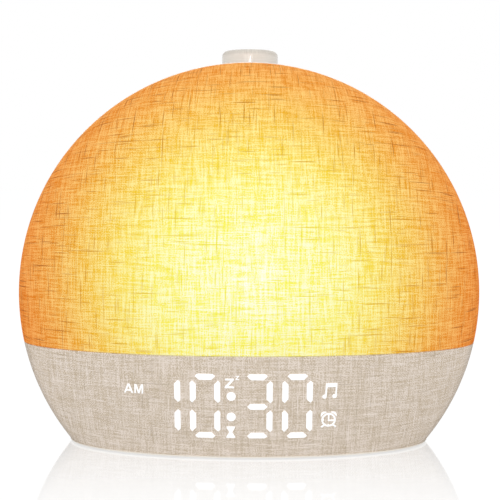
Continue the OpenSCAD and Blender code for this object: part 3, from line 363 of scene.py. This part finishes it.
def yarnColour(tree, tone, slub, slubShare, dense, thin, swollen):
    # from the colour of dense cloth to that of thin cloth, and on slubs to their own
    ground = addNode(tree, "ShaderNodeMix", {"Factor": tone, 6: dense, 7: thin}, data_type="RGBA").outputs[2]
    swell = addNode(tree, "ShaderNodeMath", [slub, slubShare], operation="MULTIPLY")
    yarn = addNode(tree, "ShaderNodeMix", {"Factor": swell, 6: ground, 7: swollen}, data_type="RGBA")
    return yarn.outputs[2]


def shareOfRadius(tree, middle):
    # 0 at the middle and 1 a rim's radius away from it, as seen from the front
    place = addNode(tree, "ShaderNodeTexCoord").outputs["Object"]
    fromMiddle = addNode(tree, "ShaderNodeVectorMath", [place, middle], operation="SUBTRACT")
    flat = addNode(tree, "ShaderNodeVectorMath", [fromMiddle, (1, 0, 1)], operation="MULTIPLY")
    distance = addNode(tree, "ShaderNodeVectorMath", [flat], operation="LENGTH").outputs["Value"]
    return addNode(tree, "ShaderNodeMath", [distance, frontRadius], operation="DIVIDE")


def clothSurface(tree, shader, relief, look):
    shader.inputs["Roughness"].default_value = look["roughness"]
    shader.inputs["Specular IOR Level"].default_value = look["shine"]
    bump = addNode(tree, "ShaderNodeBump", {
        "Height": relief, "Distance": look["relief"] * mm, "Strength": look["reliefShown"]})
    tree.links.new(bump.outputs[0], shader.inputs["Normal"])


glowLook = {
    "seed": 3.0,
    "streak": 1.8,              # this and the next four say how much each part of the weave shows
    "band": 0.2,
    "pale": 0.6,
    "crossing": 0.15,
    "grain": 1.9,
    "slubShare": 1.5,
    "roughness": 0.9,
    "shine": 0.1,
    "relief": 0.06,             # mm
    "reliefShown": 0.6,
    "glowRise": 0.0093,         # metres from the middle of the rim up to the glow's middle
    "strength": 0.7,
    "paintedGlowShare": 0.3,           # share of the glow's colour that is also painted into the cloth's base colour: painted light of the lamp behind it, not the cloth's own colour by daylight
}
# From the glow's middle to the rim: the cloth where light comes through most, where least, and a slub there
glowColours = {
    0.0: ("#fffff1", "#faf65e", "#f2f038"),
    0.22: ("#fffee2", "#f9f351", "#f0e632"),
    0.375: ("#fefdc7", "#f8ea48", "#ead02c"),
    0.525: ("#fef4a7", "#f5d22f", "#e0ae28"),
    0.675: ("#fee18a", "#edb024", "#cc8824"),
    0.815: ("#fdc974", "#e68f25", "#b06828"),
    0.94: ("#fbb15f", "#de770f", "#9c5624"),
    1.0: ("#f29b46", "#cf6609", "#88471c"),
}


def litSlubLinen():
    # Slub linen laminated on a lit diffuser: thin places glow almost white, thick threads stay amber
    material, tree, shader = newMaterial("litSlubLinen")
    tone, slub, relief = clothPattern(tree, glowLook)
    share = shareOfRadius(tree, (rim.x, 0, rim.z + glowLook["glowRise"]))
    ramps = []
    for which in range(3):
        ramp = addNode(tree, "ShaderNodeValToRGB", {"Fac": share})
        setRamp(ramp, [(at, toLinear(colours[which])) for at, colours in glowColours.items()])
        ramps.append(ramp)
    thin, dense, swollen = ramps
    glow = yarnColour(tree, tone, slub, glowLook["slubShare"], dense, thin, swollen)
    # painted light: the glow's colour, dimmed, is also the cloth's base colour, so the studio lamps add to
    # the glow
    paintedGlow = addNode(tree, "ShaderNodeVectorMath", {0: glow, "Scale": glowLook["paintedGlowShare"]}, operation="SCALE")
    tree.links.new(paintedGlow.outputs[0], shader.inputs["Base Color"])
    tree.links.new(glow, shader.inputs["Emission Color"])
    shader.inputs["Emission Strength"].default_value = glowLook["strength"]
    clothSurface(tree, shader, relief, glowLook)
    return material


linenLook = {
    "seed": 31.0,
    "streak": 1.5,              # this and the next four as above
    "band": 0.25,
    "pale": 1.2,
    "crossing": 0.2,
    "grain": 2.8,
    "slubShare": 0.5,
    "roughness": 0.95,
    "shine": 0.08,
    "relief": 0.08,             # mm
    "reliefShown": 0.7,
    "denseColour": "#c4b39b",
    "thinColour": "#ece0d5",
    "slubColour": "#a08e76",
    "rimFrom": 0.955,           # share of the radius where the painted shade towards the rim starts
    "rimShade": 0.74,           # and what is left of its colour there, under the painted shade
}


def plainSlubLinen():
    # Undyed slub linen, plain woven: oatmeal ground, taupe and cream threads, no shine
    material, tree, shader = newMaterial("oatmealSlubLinen")
    tone, slub, relief = clothPattern(tree, linenLook)
    dense, thin, swollen = [toLinear(linenLook[kind + "Colour"]) for kind in ("dense", "thin", "slub")]
    yarn = yarnColour(tree, tone, slub, linenLook["slubShare"], dense, thin, swollen)
    # painted shade: the cloth is darkened towards the rim, standing in for the shade where it turns round the
    # edge
    paintedRimShade = addNode(tree, "ShaderNodeMapRange", {
        "Value": shareOfRadius(tree, rim), "From Min": linenLook["rimFrom"], "From Max": 1.0,
        "To Min": 1.0, "To Max": linenLook["rimShade"]})
    yarn = addNode(tree, "ShaderNodeVectorMath", {0: yarn, "Scale": paintedRimShade}, operation="SCALE").outputs[0]
    tree.links.new(yarn, shader.inputs["Base Color"])
    clothSurface(tree, shader, relief, linenLook)
    return material


cloth = {
    "segments": 256,
    "rings": 128,
    "thickness": 0.7 * mm,
    "edgeRound": 0.28 * mm,
    "edgeSegments": 3,
    "edgeAngle": math.radians(50),
    "unstretched": 0.85,        # 1 lays the weave along the crown unstretched, 0 projects it from the front
    "arcSteps": 24,
    "domeCut": (0.237, 0.139),  # metres, before it is stretched over the crown
    "domeArea": 0.0265,
    "bandCut": (0.233, 0.046),
    "bandArea": 0.0094,
}


def arcFromMiddle(radius):
    # length of cloth from the crown's middle to a point that lies radius away from its axis
    end = math.asin(min(1.0, radius / frontRadius))
    step = end / cloth["arcSteps"]
    angles = [step * (i + 0.5) for i in range(cloth["arcSteps"])]
    return step * sum(math.hypot(frontRadius * math.cos(a), crownDepth * math.sin(a)) for a in angles)


def layWeave(piece):
    layer = piece.data.uv_layers.new(name="cloth")
    grown = {}
    for vertex in piece.data.vertices:
        radius = math.hypot(vertex.co.x - rim.x, vertex.co.z - rim.z)
        arcShare = arcFromMiddle(radius) / radius if radius > mm else 1.0
        grown[vertex.index] = 1 + cloth["unstretched"] * (arcShare - 1)
    for loop in piece.data.loops:
        place = piece.data.vertices[loop.vertex_index].co - rim
        share = grown[loop.vertex_index] / weave["span"]
        layer.data[loop.index].uv = (0.5 + place.x * share, 0.5 + place.z * share)


def crownCloth(name, lowest, highest):
    # The part of the crown between two heights, as one layer of cloth with rounded edges
    bpy.ops.object.select_all(action="DESELECT")
    bpy.ops.mesh.primitive_uv_sphere_add(
        segments=cloth["segments"], ring_count=cloth["rings"], radius=1, location=rim,
        rotation=(math.radians(90), 0, 0), scale=(frontRadius, frontRadius, crownDepth))
    piece = bpy.context.object
    piece.name = name
    bpy.ops.object.transform_apply(location=True, rotation=True, scale=True)
    cuts = [((0, rim.y, 0), (0, 1, 0))]
    if lowest is not None:
        cuts.append(((0, 0, lowest), (0, 0, -1)))
    if highest is not None:
        cuts.append(((0, 0, highest), (0, 0, 1)))
    bpy.ops.object.mode_set(mode="EDIT")
    for place, normal in cuts:
        bpy.ops.mesh.select_all(action="SELECT")
        bpy.ops.mesh.bisect(plane_co=place, plane_no=normal, clear_outer=True, threshold=mergeWithin)
    bpy.ops.mesh.select_all(action="SELECT")
    bpy.ops.mesh.normals_make_consistent(inside=False)
    bpy.ops.object.mode_set(mode="OBJECT")
    for old in list(piece.data.uv_layers):
        piece.data.uv_layers.remove(old)
    layWeave(piece)
    applyModifier(piece, "SOLIDIFY", thickness=cloth["thickness"], offset=-1)
    applyModifier(piece, "BEVEL", width=cloth["edgeRound"], segments=cloth["edgeSegments"],
                  limit_method="ANGLE", angle_limit=cloth["edgeAngle"])
    bpy.ops.object.shade_smooth_by_angle(angle=smoothUnder)
    return piece


domeCloth = crownCloth("domeCloth", domeLow.z, None)
wear(domeCloth, litSlubLinen())
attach(domeCloth, clockBody)
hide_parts("dome_fabric")
bandCloth = crownCloth("bandCloth", bandLow.z, bandHigh.z)
wear(bandCloth, plainSlubLinen())
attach(bandCloth, clockBody)
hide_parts("display_fabric")
print("both cloths on")


litLook = {"unlitColour": "#d6d6d6", "lightColour": "#ffffff", "strength": 0.42, "roughness": 0.6}


def litSegment():
    # White light through cloth from the display's wells: even and without texture
    material, tree, shader = newMaterial("litSegment")
    shader.inputs["Base Color"].default_value = toLinear(litLook["unlitColour"])
    shader.inputs["Emission Color"].default_value = toLinear(litLook["lightColour"])
    shader.inputs["Emission Strength"].default_value = litLook["strength"]
    shader.inputs["Roughness"].default_value = litLook["roughness"]
    return material


litWhite = litSegment()


def arcPoints(middle, radius, start, end, step=12):
    # angles in degrees, counted from the right and up
    count = max(2, round(abs(end - start) / step))
    angles = [math.radians(start + (end - start) * i / count) for i in range(count + 1)]
    return [(middle[0] + radius * math.cos(a), middle[1] + radius * math.sin(a)) for a in angles]


def scaled(points, left, low, width, height):
    return [(left + x * width, low + z * height) for x, z in points]


# Letters and hourglass as shares of their width and height
letterA = [(0, 0), (0.18, 0), (0.27, 0.22), (0.73, 0.22), (0.82, 0), (1, 0), (0.6, 1), (0.4, 1)]
letterAHole = [(0.335, 0.37), (0.665, 0.37), (0.5, 0.77)]
letterM = [(0, 0), (0.17, 0), (0.17, 0.7), (0.41, 0), (0.58, 0), (0.83, 0.7), (0.83, 0), (1, 0), (1, 1),
           (0.76, 1), (0.5, 0.3), (0.25, 1), (0, 1)]
letterZ = [(0, 0), (1, 0), (1, 0.19), (0.36, 0.19), (0.96, 0.83), (0.96, 1), (0.05, 1), (0.05, 0.81),
           (0.62, 0.81), (0, 0.17)]
hourglass = [(0, 0), (1, 0), (0.95, 0.14), (0.68, 0.46), (0.68, 0.54), (0.93, 0.86), (0.96, 1), (0.04, 1),
             (0.07, 0.86), (0.32, 0.54), (0.32, 0.46), (0.05, 0.14)]
# Note and alarm clock in mm from the middle of the rim, x to the right and z up
noteHead = 0.88
note = ([(31.0, -31.4), (35.65, -31.4)] + arcPoints((34.6, -36.85), noteHead, 12, -250)
        + [(34.85, -36.0), (35.0, -33.05), (31.6, -33.05)] + arcPoints((30.5, -36.95), noteHead, 8, -285))
alarm = {
    "middle": (32.4, -46.95),
    "outer": 2.95,              # radii of the ring round its face
    "inner": 2.25,
    "hand": 0.29,               # half the width of a hand
    "handDrop": 0.25,           # how far below the middle the hands meet
    "tick": 0.42,               # length of a tick
    "tickHalf": 0.232,          # and half its width
    "footAt": 40,               # degrees from straight down
    "footLean": 4,              # degrees that a foot's tip lies further out
    "footHalf": 7,              # degrees, half the width of a foot at the ring and at its tip
    "tipHalf": 5.2,
    "footReach": 4.3,
    "bellTurn": 40,             # degrees from straight up
    "bellGap": 3.35,            # radius of a bell's underside
    "bellReach": 25,            # degrees, half of its length
    "bellHeart": 2.6,           # where the middle of a bell's round top lies
    "bellRadius": 1.62,
    "bellHalf": 69,
}


def alarmOutlines():
    middle, outer, inner = alarm["middle"], alarm["outer"], alarm["inner"]
    hand, drop, tickHalf = alarm["hand"], alarm["handDrop"], alarm["tickHalf"]
    tickEnd = inner - alarm["tick"]
    across = math.degrees(math.asin(hand / inner))
    left, right = 270 - alarm["footAt"], 270 + alarm["footAt"]
    ring = arcPoints(middle, outer, right + alarm["footHalf"], 360 + left - alarm["footHalf"])
    for at, lean in ((left, -alarm["footLean"]), (right, alarm["footLean"])):
        for side in (-alarm["tipHalf"], alarm["tipHalf"]):
            tip = at + lean + side
            ring.append(arcPoints(middle, alarm["footReach"], tip, tip)[0])
        if at == left:
            ring += arcPoints(middle, outer, left + alarm["footHalf"], right - alarm["footHalf"])
    # the face is a hole in the ring, and the two hands part it in a quarter and the rest
    besideHand = math.degrees(math.asin((hand - drop) / inner))
    underHand = math.degrees(math.asin((hand + drop) / inner))
    quarter = [(middle[0] + hand, middle[1] - drop + hand)]
    quarter += arcPoints(middle, inner, besideHand, 90 - across)
    rest = arcPoints(middle, inner, 90 + across, 180 - across)
    rest += [(middle[0] - tickEnd, middle[1] + tickHalf), (middle[0] - tickEnd, middle[1] - tickHalf)]
    rest += arcPoints(middle, inner, 180 + across, 270 - across)
    rest += [(middle[0] - tickHalf, middle[1] - tickEnd), (middle[0] + tickHalf, middle[1] - tickEnd)]
    rest += arcPoints(middle, inner, 270 + across, 360 - underHand)
    rest += [(middle[0] - hand, middle[1] - drop - hand)]
    bells = []
    for turn in (90 - alarm["bellTurn"], 90 + alarm["bellTurn"]):
        under = arcPoints(middle, alarm["bellGap"], turn + alarm["bellReach"], turn - alarm["bellReach"])
        heart = arcPoints(middle, alarm["bellHeart"], turn, turn)[0]
        over = arcPoints(heart, alarm["bellRadius"], turn - alarm["bellHalf"], turn + alarm["bellHalf"])
        bells.append(under + over)
    return [ring, quarter, rest] + bells


# Each letter's left and lower edge, width and height in mm
signs = {
    "signMorning": [scaled(letterA, -50.55, -36.4, 3.85, 3.9), scaled(letterAHole, -50.55, -36.4, 3.85, 3.9),
                    scaled(letterM, -46.2, -36.4, 3.6, 3.85)],
    "signSleep": [scaled(letterZ, -9.6, -33.15, 3.8, 4.0), scaled(letterZ, -5.3, -29.7, 1.5, 1.7)],
    "signHourglass": [scaled(hourglass, -9.05, -54.3, 3.75, 4.9)],
    "signNote": [note],
    "signAlarm": alarmOutlines(),
}
signSkin = {
    "flatThickness": 0.5 * mm,  # only until it is bent on to the crown
    "under": 0.1 * mm,          # how far it then reaches into the cloth, and out of it
    "over": 0.16 * mm,
    "cutEvery": 1.3 * mm,       # so that it follows the crown
}


def crownPoint(x, z, lift):
    # The point of the crown in front of (x, z), moved out along its normal
    depth = crownDepth * math.sqrt(max(0.0, 1 - (x * x + z * z) / frontRadius ** 2))
    outward = Vector((x / frontRadius ** 2, -depth / crownDepth ** 2, z / frontRadius ** 2)).normalized()
    return rim + Vector((x, -depth, z)) + outward * lift


def litSign(name, outlines):
    curve = bpy.data.curves.new(name, "CURVE")
    curve.dimensions = "2D"
    curve.fill_mode = "BOTH"
    curve.extrude = signSkin["flatThickness"]
    for outline in outlines:
        spline = curve.splines.new("POLY")
        spline.points.add(len(outline) - 1)
        for point, (x, z) in zip(spline.points, outline):
            point.co = (x * mm, z * mm, 0, 1)
        spline.use_cyclic_u = True
    sign = bpy.data.objects.new(name, curve)
    bpy.context.scene.collection.objects.link(sign)
    selectOnly(sign)
    bpy.ops.object.convert(target="MESH")
    sign = bpy.context.object
    # flat still, it is closed, cut into small squares, and then bent on to the crown
    xs = [v.co.x for v in sign.data.vertices]
    ys = [v.co.y for v in sign.data.vertices]
    bpy.ops.object.mode_set(mode="EDIT")
    bpy.ops.mesh.select_all(action="SELECT")
    bpy.ops.mesh.remove_doubles(threshold=mergeWithin)
    for low, high, normal in ((min(xs), max(xs), (1, 0, 0)), (min(ys), max(ys), (0, 1, 0))):
        for i in range(1, math.ceil((high - low) / signSkin["cutEvery"])):
            at = low + i * signSkin["cutEvery"]
            bpy.ops.mesh.select_all(action="SELECT")
            bpy.ops.mesh.bisect(plane_co=[at * n for n in normal], plane_no=normal)
    bpy.ops.object.mode_set(mode="OBJECT")
    for vertex in sign.data.vertices:
        lift = signSkin["over"] if vertex.co.z > 0 else -signSkin["under"]
        vertex.co = crownPoint(vertex.co.x, vertex.co.y, lift)
    wear(sign, litWhite)
    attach(sign, clockBody)
    return sign


for name, outlines in signs.items():
    litSign(name, outlines)
print("lit signs on")


moulding = {
    "blotches": 30.0,           # to a metre, where the colour is a trace deeper
    "blotchFrom": 0.35,         # noise between which it changes
    "blotchTo": 0.65,
    "unevenness": 0.05,         # of the roughness
    "reliefShown": 0.5,
}


def mouldedPlastic(name, colour, roughness, grain=0.35, depth=0.03, stain=0.024):
    # Injection-moulded plastic with an eroded satin grain: soft broad highlights, slightly uneven gloss.
    # grain and depth are its size and relief in mm, stain how much deeper the blotches are
    material, tree, shader = newMaterial(name)
    place = addNode(tree, "ShaderNodeTexCoord").outputs["Object"]
    broad = addNode(tree, "ShaderNodeTexNoise", {
        "Vector": place, "Scale": moulding["blotches"], "Detail": 2.0})
    tint = addNode(tree, "ShaderNodeValToRGB", {"Fac": broad})
    clean = toLinear(colour)
    deeper = [c * (1 - stain) for c in clean[:3]] + [1.0]
    setRamp(tint, [(moulding["blotchFrom"], deeper), (moulding["blotchTo"], clean)])
    tree.links.new(tint.outputs["Color"], shader.inputs["Base Color"])
    fine = addNode(tree, "ShaderNodeTexNoise", {"Vector": place, "Scale": 1 / (grain * mm), "Detail": 2.0})
    gloss = addNode(tree, "ShaderNodeMapRange", {
        "Value": fine, "To Min": roughness - moulding["unevenness"],
        "To Max": roughness + moulding["unevenness"]})
    tree.links.new(gloss.outputs[0], shader.inputs["Roughness"])
    bump = addNode(tree, "ShaderNodeBump", {
        "Height": fine, "Distance": depth * mm, "Strength": moulding["reliefShown"]})
    tree.links.new(bump.outputs[0], shader.inputs["Normal"])
    return material


metal = {
    "grain": 0.25,              # mm, width of a scratch
    "drawnOut": 0.12,           # its width as a share of its length
    "smoother": 0.08,           # how far the roughness goes below and above the one given
    "rougher": 0.1,
    "depth": 0.01,              # mm
    "reliefShown": 0.4,
}


def brushedMetal(name, colour, roughness):
    # Stamped or turned metal: grey, with fine scratches that blur its highlights
    material, tree, shader = newMaterial(name)
    place = addNode(tree, "ShaderNodeTexCoord").outputs["Object"]
    drawn = addNode(tree, "ShaderNodeMapping", {"Vector": place, "Scale": (metal["drawnOut"], 1, 1)})
    scratch = addNode(tree, "ShaderNodeTexNoise", {
        "Vector": drawn, "Scale": 1 / (metal["grain"] * mm), "Detail": 3.0})
    shader.inputs["Base Color"].default_value = toLinear(colour)
    shader.inputs["Metallic"].default_value = 1.0
    gloss = addNode(tree, "ShaderNodeMapRange", {
        "Value": scratch, "To Min": roughness - metal["smoother"], "To Max": roughness + metal["rougher"]})
    tree.links.new(gloss.outputs[0], shader.inputs["Roughness"])
    bump = addNode(tree, "ShaderNodeBump", {
        "Height": scratch, "Distance": metal["depth"] * mm, "Strength": metal["reliefShown"]})
    tree.links.new(bump.outputs[0], shader.inputs["Normal"])
    return material


knobLook = {
    "side": "#dbd5cd",          # the side and the fine rings turned into it
    "groove": "#cec7be",
    "edge": "#d0cac0",          # the rounded edge, painted a tone deeper as painted shade, and the lines that run over it
    "line": "#bab3aa",
    "ring": 0.3,                # mm from ring to ring
    "lines": 95.0,              # how many lines there are to a radian, or so
    "edgeStarts": 2.99,         # mm below the top, where the side's paint goes over into the edge's
    "edgeWhole": 1.56,
    "smoothest": 0.1,           # roughness of the side, from ring to ring
    "roughest": 0.22,
    "edgeRoughness": 0.5,
    "relief": 0.015,            # mm
    "reliefShown": 0.5,
}


def turnedSatinPaint():
    # Champagne satin paint on a turned cap: fine rings round its side draw highlights out up and down, and
    # short lines run over its rounded edge, whose colours are painted a tone deeper as painted shade
    material, tree, shader = newMaterial("turnedSatinPaint")
    top = (knobMiddle.x, knobMiddle.y, knobHigh.z)
    place = addNode(tree, "ShaderNodeTexCoord").outputs["Object"]
    fromTop = addNode(tree, "ShaderNodeVectorMath", [place, top], operation="SUBTRACT")
    outward = addNode(tree, "ShaderNodeVectorMath", [fromTop, (1, 1, 0)], operation="MULTIPLY")
    radius = addNode(tree, "ShaderNodeVectorMath", [outward], operation="LENGTH").outputs["Value"]
    height = addNode(tree, "ShaderNodeSeparateXYZ", [fromTop]).outputs["Z"]
    alongOutline = addNode(tree, "ShaderNodeMath", [height, radius], operation="SUBTRACT")
    ringsAMetre = 1 / (knobLook["ring"] * mm)
    ringPlace = addNode(tree, "ShaderNodeMath", [alongOutline, ringsAMetre], operation="MULTIPLY")
    rings = addNode(tree, "ShaderNodeTexNoise", {"W": ringPlace, "Scale": 1.0, "Detail": 1.0},
                    noise_dimensions="1D")
    direction = addNode(tree, "ShaderNodeVectorMath", [outward], operation="NORMALIZE")
    lines = addNode(tree, "ShaderNodeTexNoise", {
        "Vector": direction, "Scale": knobLook["lines"], "Detail": 1.0})
    onEdge = addNode(tree, "ShaderNodeMapRange", {
        "Value": height, "From Min": -knobLook["edgeStarts"] * mm, "From Max": -knobLook["edgeWhole"] * mm},
        interpolation_type="SMOOTHSTEP")
    side = addNode(tree, "ShaderNodeValToRGB", {"Fac": rings})
    setRamp(side, [(0.3, toLinear(knobLook["groove"])), (0.6, toLinear(knobLook["side"]))])
    # painted shade: the rounded edge and its lines are a tone deeper than the side
    edge = addNode(tree, "ShaderNodeValToRGB", {"Fac": lines})
    setRamp(edge, [(0.35, toLinear(knobLook["line"])), (0.6, toLinear(knobLook["edge"]))])
    paint = addNode(tree, "ShaderNodeMix", {"Factor": onEdge, 6: side, 7: edge}, data_type="RGBA").outputs[2]
    tree.links.new(paint, shader.inputs["Base Color"])
    gloss = addNode(tree, "ShaderNodeMapRange", {
        "Value": rings, "To Min": knobLook["smoothest"], "To Max": knobLook["roughest"]})
    gloss = addNode(tree, "ShaderNodeMix", {"Factor": onEdge, 2: gloss, 3: knobLook["edgeRoughness"]})
    tree.links.new(gloss.outputs[0], shader.inputs["Roughness"])
    relief = addNode(tree, "ShaderNodeMix", {"Factor": onEdge, 2: rings, 3: lines})
    bump = addNode(tree, "ShaderNodeBump", {
        "Height": relief, "Distance": knobLook["relief"] * mm, "Strength": knobLook["reliefShown"]})
    tree.links.new(bump.outputs[0], shader.inputs["Normal"])
    return material


# What each material slot of the frame is made of
finishes = {
    "lit_display": litWhite,
    "diffuser_white": mouldedPlastic("frostedPolycarbonate", "#f4f1ea", 0.5),
    "housing_white": mouldedPlastic("satinWhiteAbs", "#f0eae0", 0.42),
    "knob_cream": turnedSatinPaint(),
    "black_plastic": mouldedPlastic("blackNylon", "#1d1d1f", 0.45),
    "lens_white": mouldedPlastic("milkyAcrylic", "#f3f3f0", 0.25),
    "board_green": mouldedPlastic("greenSolderMask", "#1f5a3a", 0.3, grain=0.6, stain=0.06),
    "board_white": mouldedPlastic("whiteSolderMask", "#e6e8e8", 0.35, grain=0.6),
    "led_resin": mouldedPlastic("yellowPhosphorResin", "#f2dd72", 0.3),
    "steel": brushedMetal("zincPlatedSteel", "#b4b6ba", 0.32),
    "capacitor_can": brushedMetal("aluminiumSleeve", "#9fa3a8", 0.35),
    "spring_brass": brushedMetal("springBrass", "#c7a45c", 0.28),
    "ferrite": mouldedPlastic("sinteredFerrite", "#2b2b2d", 0.6, grain=0.5, stain=0.08),
    "foam": mouldedPlastic("closedCellFoam", "#2a2a2b", 0.95, grain=0.8, depth=0.1, stain=0.08),
    "pad_rubber": mouldedPlastic("greyRubber", "#8b8a88", 0.8, grain=0.5, depth=0.06, stain=0.06),
    "paper_cone": mouldedPlastic("pressedPaper", "#2e2d2f", 0.85, grain=0.7, depth=0.08, stain=0.08),
    "lead_red": mouldedPlastic("redPvc", "#b3281f", 0.4),
}


def mergedCopy(name, nodeName):
    piece = bpy.data.objects.new(name, frame["nodes"][nodeName].data.copy())
    bpy.context.scene.collection.objects.link(piece)
    selectOnly(piece)
    bpy.ops.mesh.customdata_custom_splitnormals_clear()
    bpy.ops.object.mode_set(mode="EDIT")
    bpy.ops.mesh.select_all(action="SELECT")
    bpy.ops.mesh.remove_doubles(threshold=mergeWithin)
    bpy.ops.object.mode_set(mode="OBJECT")
    return piece


def cutAway(piece, core):
    applyModifier(piece, "BOOLEAN", operation="DIFFERENCE", object=core, solver="EXACT")
    bpy.data.objects.remove(core, do_unlink=True)


rearShell = {
    "power": 2.8,               # the bowl's outline lies between an ellipse, 2, and a box
    "bulge": 1.7 * mm,          # its full outline would reach this far beyond its flat back
    "steps": 18,                # straight stretches that the outline has from the rim to the flat back
    "seatGap": 0.9 * mm,        # between the knob and the side of its seat
    "footHigh": 3.4 * mm,       # where the foot of the seat starts and ends, below the knob
    "footLow": 10.4 * mm,
    "trimReach": 8.4 * mm,      # how far round the seat it is trimmed, a little beyond its foot
    "skin": 0.01 * mm,          # what the trimming leaves on the bowl and on the seat
    "segments": 256,
}


def bowlCore():
    # The bowl filled in, in front of the rim too: a ball whose rings are moved out to the bowl's own outline
    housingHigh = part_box("rear_housing")[1]
    steps, power, skin = rearShell["steps"], rearShell["power"], rearShell["skin"]
    bpy.ops.object.select_all(action="DESELECT")
    bpy.ops.mesh.primitive_uv_sphere_add(segments=rearShell["segments"], ring_count=2 * (steps + 1), radius=1,
                                         rotation=(math.radians(90), 0, 0))
    core = bpy.context.object
    bpy.ops.object.transform_apply(location=True, rotation=True, scale=True)
    flatBack = housingHigh.y - rim.y
    fullDepth = flatBack + rearShell["bulge"]
    lastAngle = math.asin((flatBack / fullDepth) ** (power / 2))
    for vertex in core.data.vertices:
        latitude = math.asin(min(1.0, abs(vertex.co.y)))
        ring = round(latitude / (math.pi / 2) * (steps + 1))
        angle = lastAngle * min(ring, steps) / steps
        radius = (housingHigh.x + skin) * math.cos(angle) ** (2 / power)
        depth = fullDepth * math.sin(angle) ** (2 / power) + skin
        spread = 0 if ring > steps else radius / math.hypot(vertex.co.x, vertex.co.z)
        vertex.co = rim + Vector((vertex.co.x * spread, math.copysign(depth, vertex.co.y),
                                  vertex.co.z * spread))
    return core


def roundTheKnob(radius, height, middle):
    bpy.ops.mesh.primitive_cylinder_add(vertices=rearShell["segments"], radius=radius, depth=height,
                                        location=(knobMiddle.x, knobMiddle.y, middle))
    return bpy.context.object


def seatTrimmer():
    # All that lies round the seat's foot, outside both the seat's own side and the bowl
    bowl = bowlCore()
    seatRadius = knobHigh.x + rearShell["seatGap"] + rearShell["skin"]
    top = knobLow.z - rearShell["footHigh"]
    bottom = knobLow.z - rearShell["footLow"] - rearShell["skin"]
    middle = (top + bottom) / 2
    seat = roundTheKnob(seatRadius, 2 * (top - bottom), middle)     # twice as high, so that it cuts through
    trimmer = roundTheKnob(seatRadius + rearShell["trimReach"], top - bottom, middle)
    cutAway(trimmer, seat)
    cutAway(trimmer, bowl)
    return trimmer


def housingShell():
    # The housing as built, but the foot of the knob's seat ends where it meets the bowl
    piece = mergedCopy("rearShell", "rear_housing")
    cutAway(piece, seatTrimmer())
    selectOnly(piece)
    bpy.ops.object.shade_smooth_by_angle(angle=smoothUnder)
    applyModifier(piece, "WEIGHTED_NORMAL", mode="FACE_AREA", keep_sharp=True)
    return piece


housing = housingShell()
wear(housing, finishes["housing_white"])
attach(housing, clockBody)
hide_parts("rear_housing")
print("housing trimmed")

clickDome = mergedCopy("clickDome", "snap_dome")
bpy.ops.object.shade_smooth_by_angle(angle=smoothUnder)
wear(clickDome, finishes["spring_brass"])
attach(clickDome, clockBody)
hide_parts("snap_dome")
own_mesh(clickDome)

# The frame's own parts wear what their slots say, and the cloths above have their own materials
slotOf = {row["node"]: row["material_slot"] for row in frame["record"]["subparts"]}
for nodeName, node in frame["nodes"].items():
    if slotOf[nodeName] in finishes:
        wear(node, finishes[slotOf[nodeName]])
print("frame parts finished")
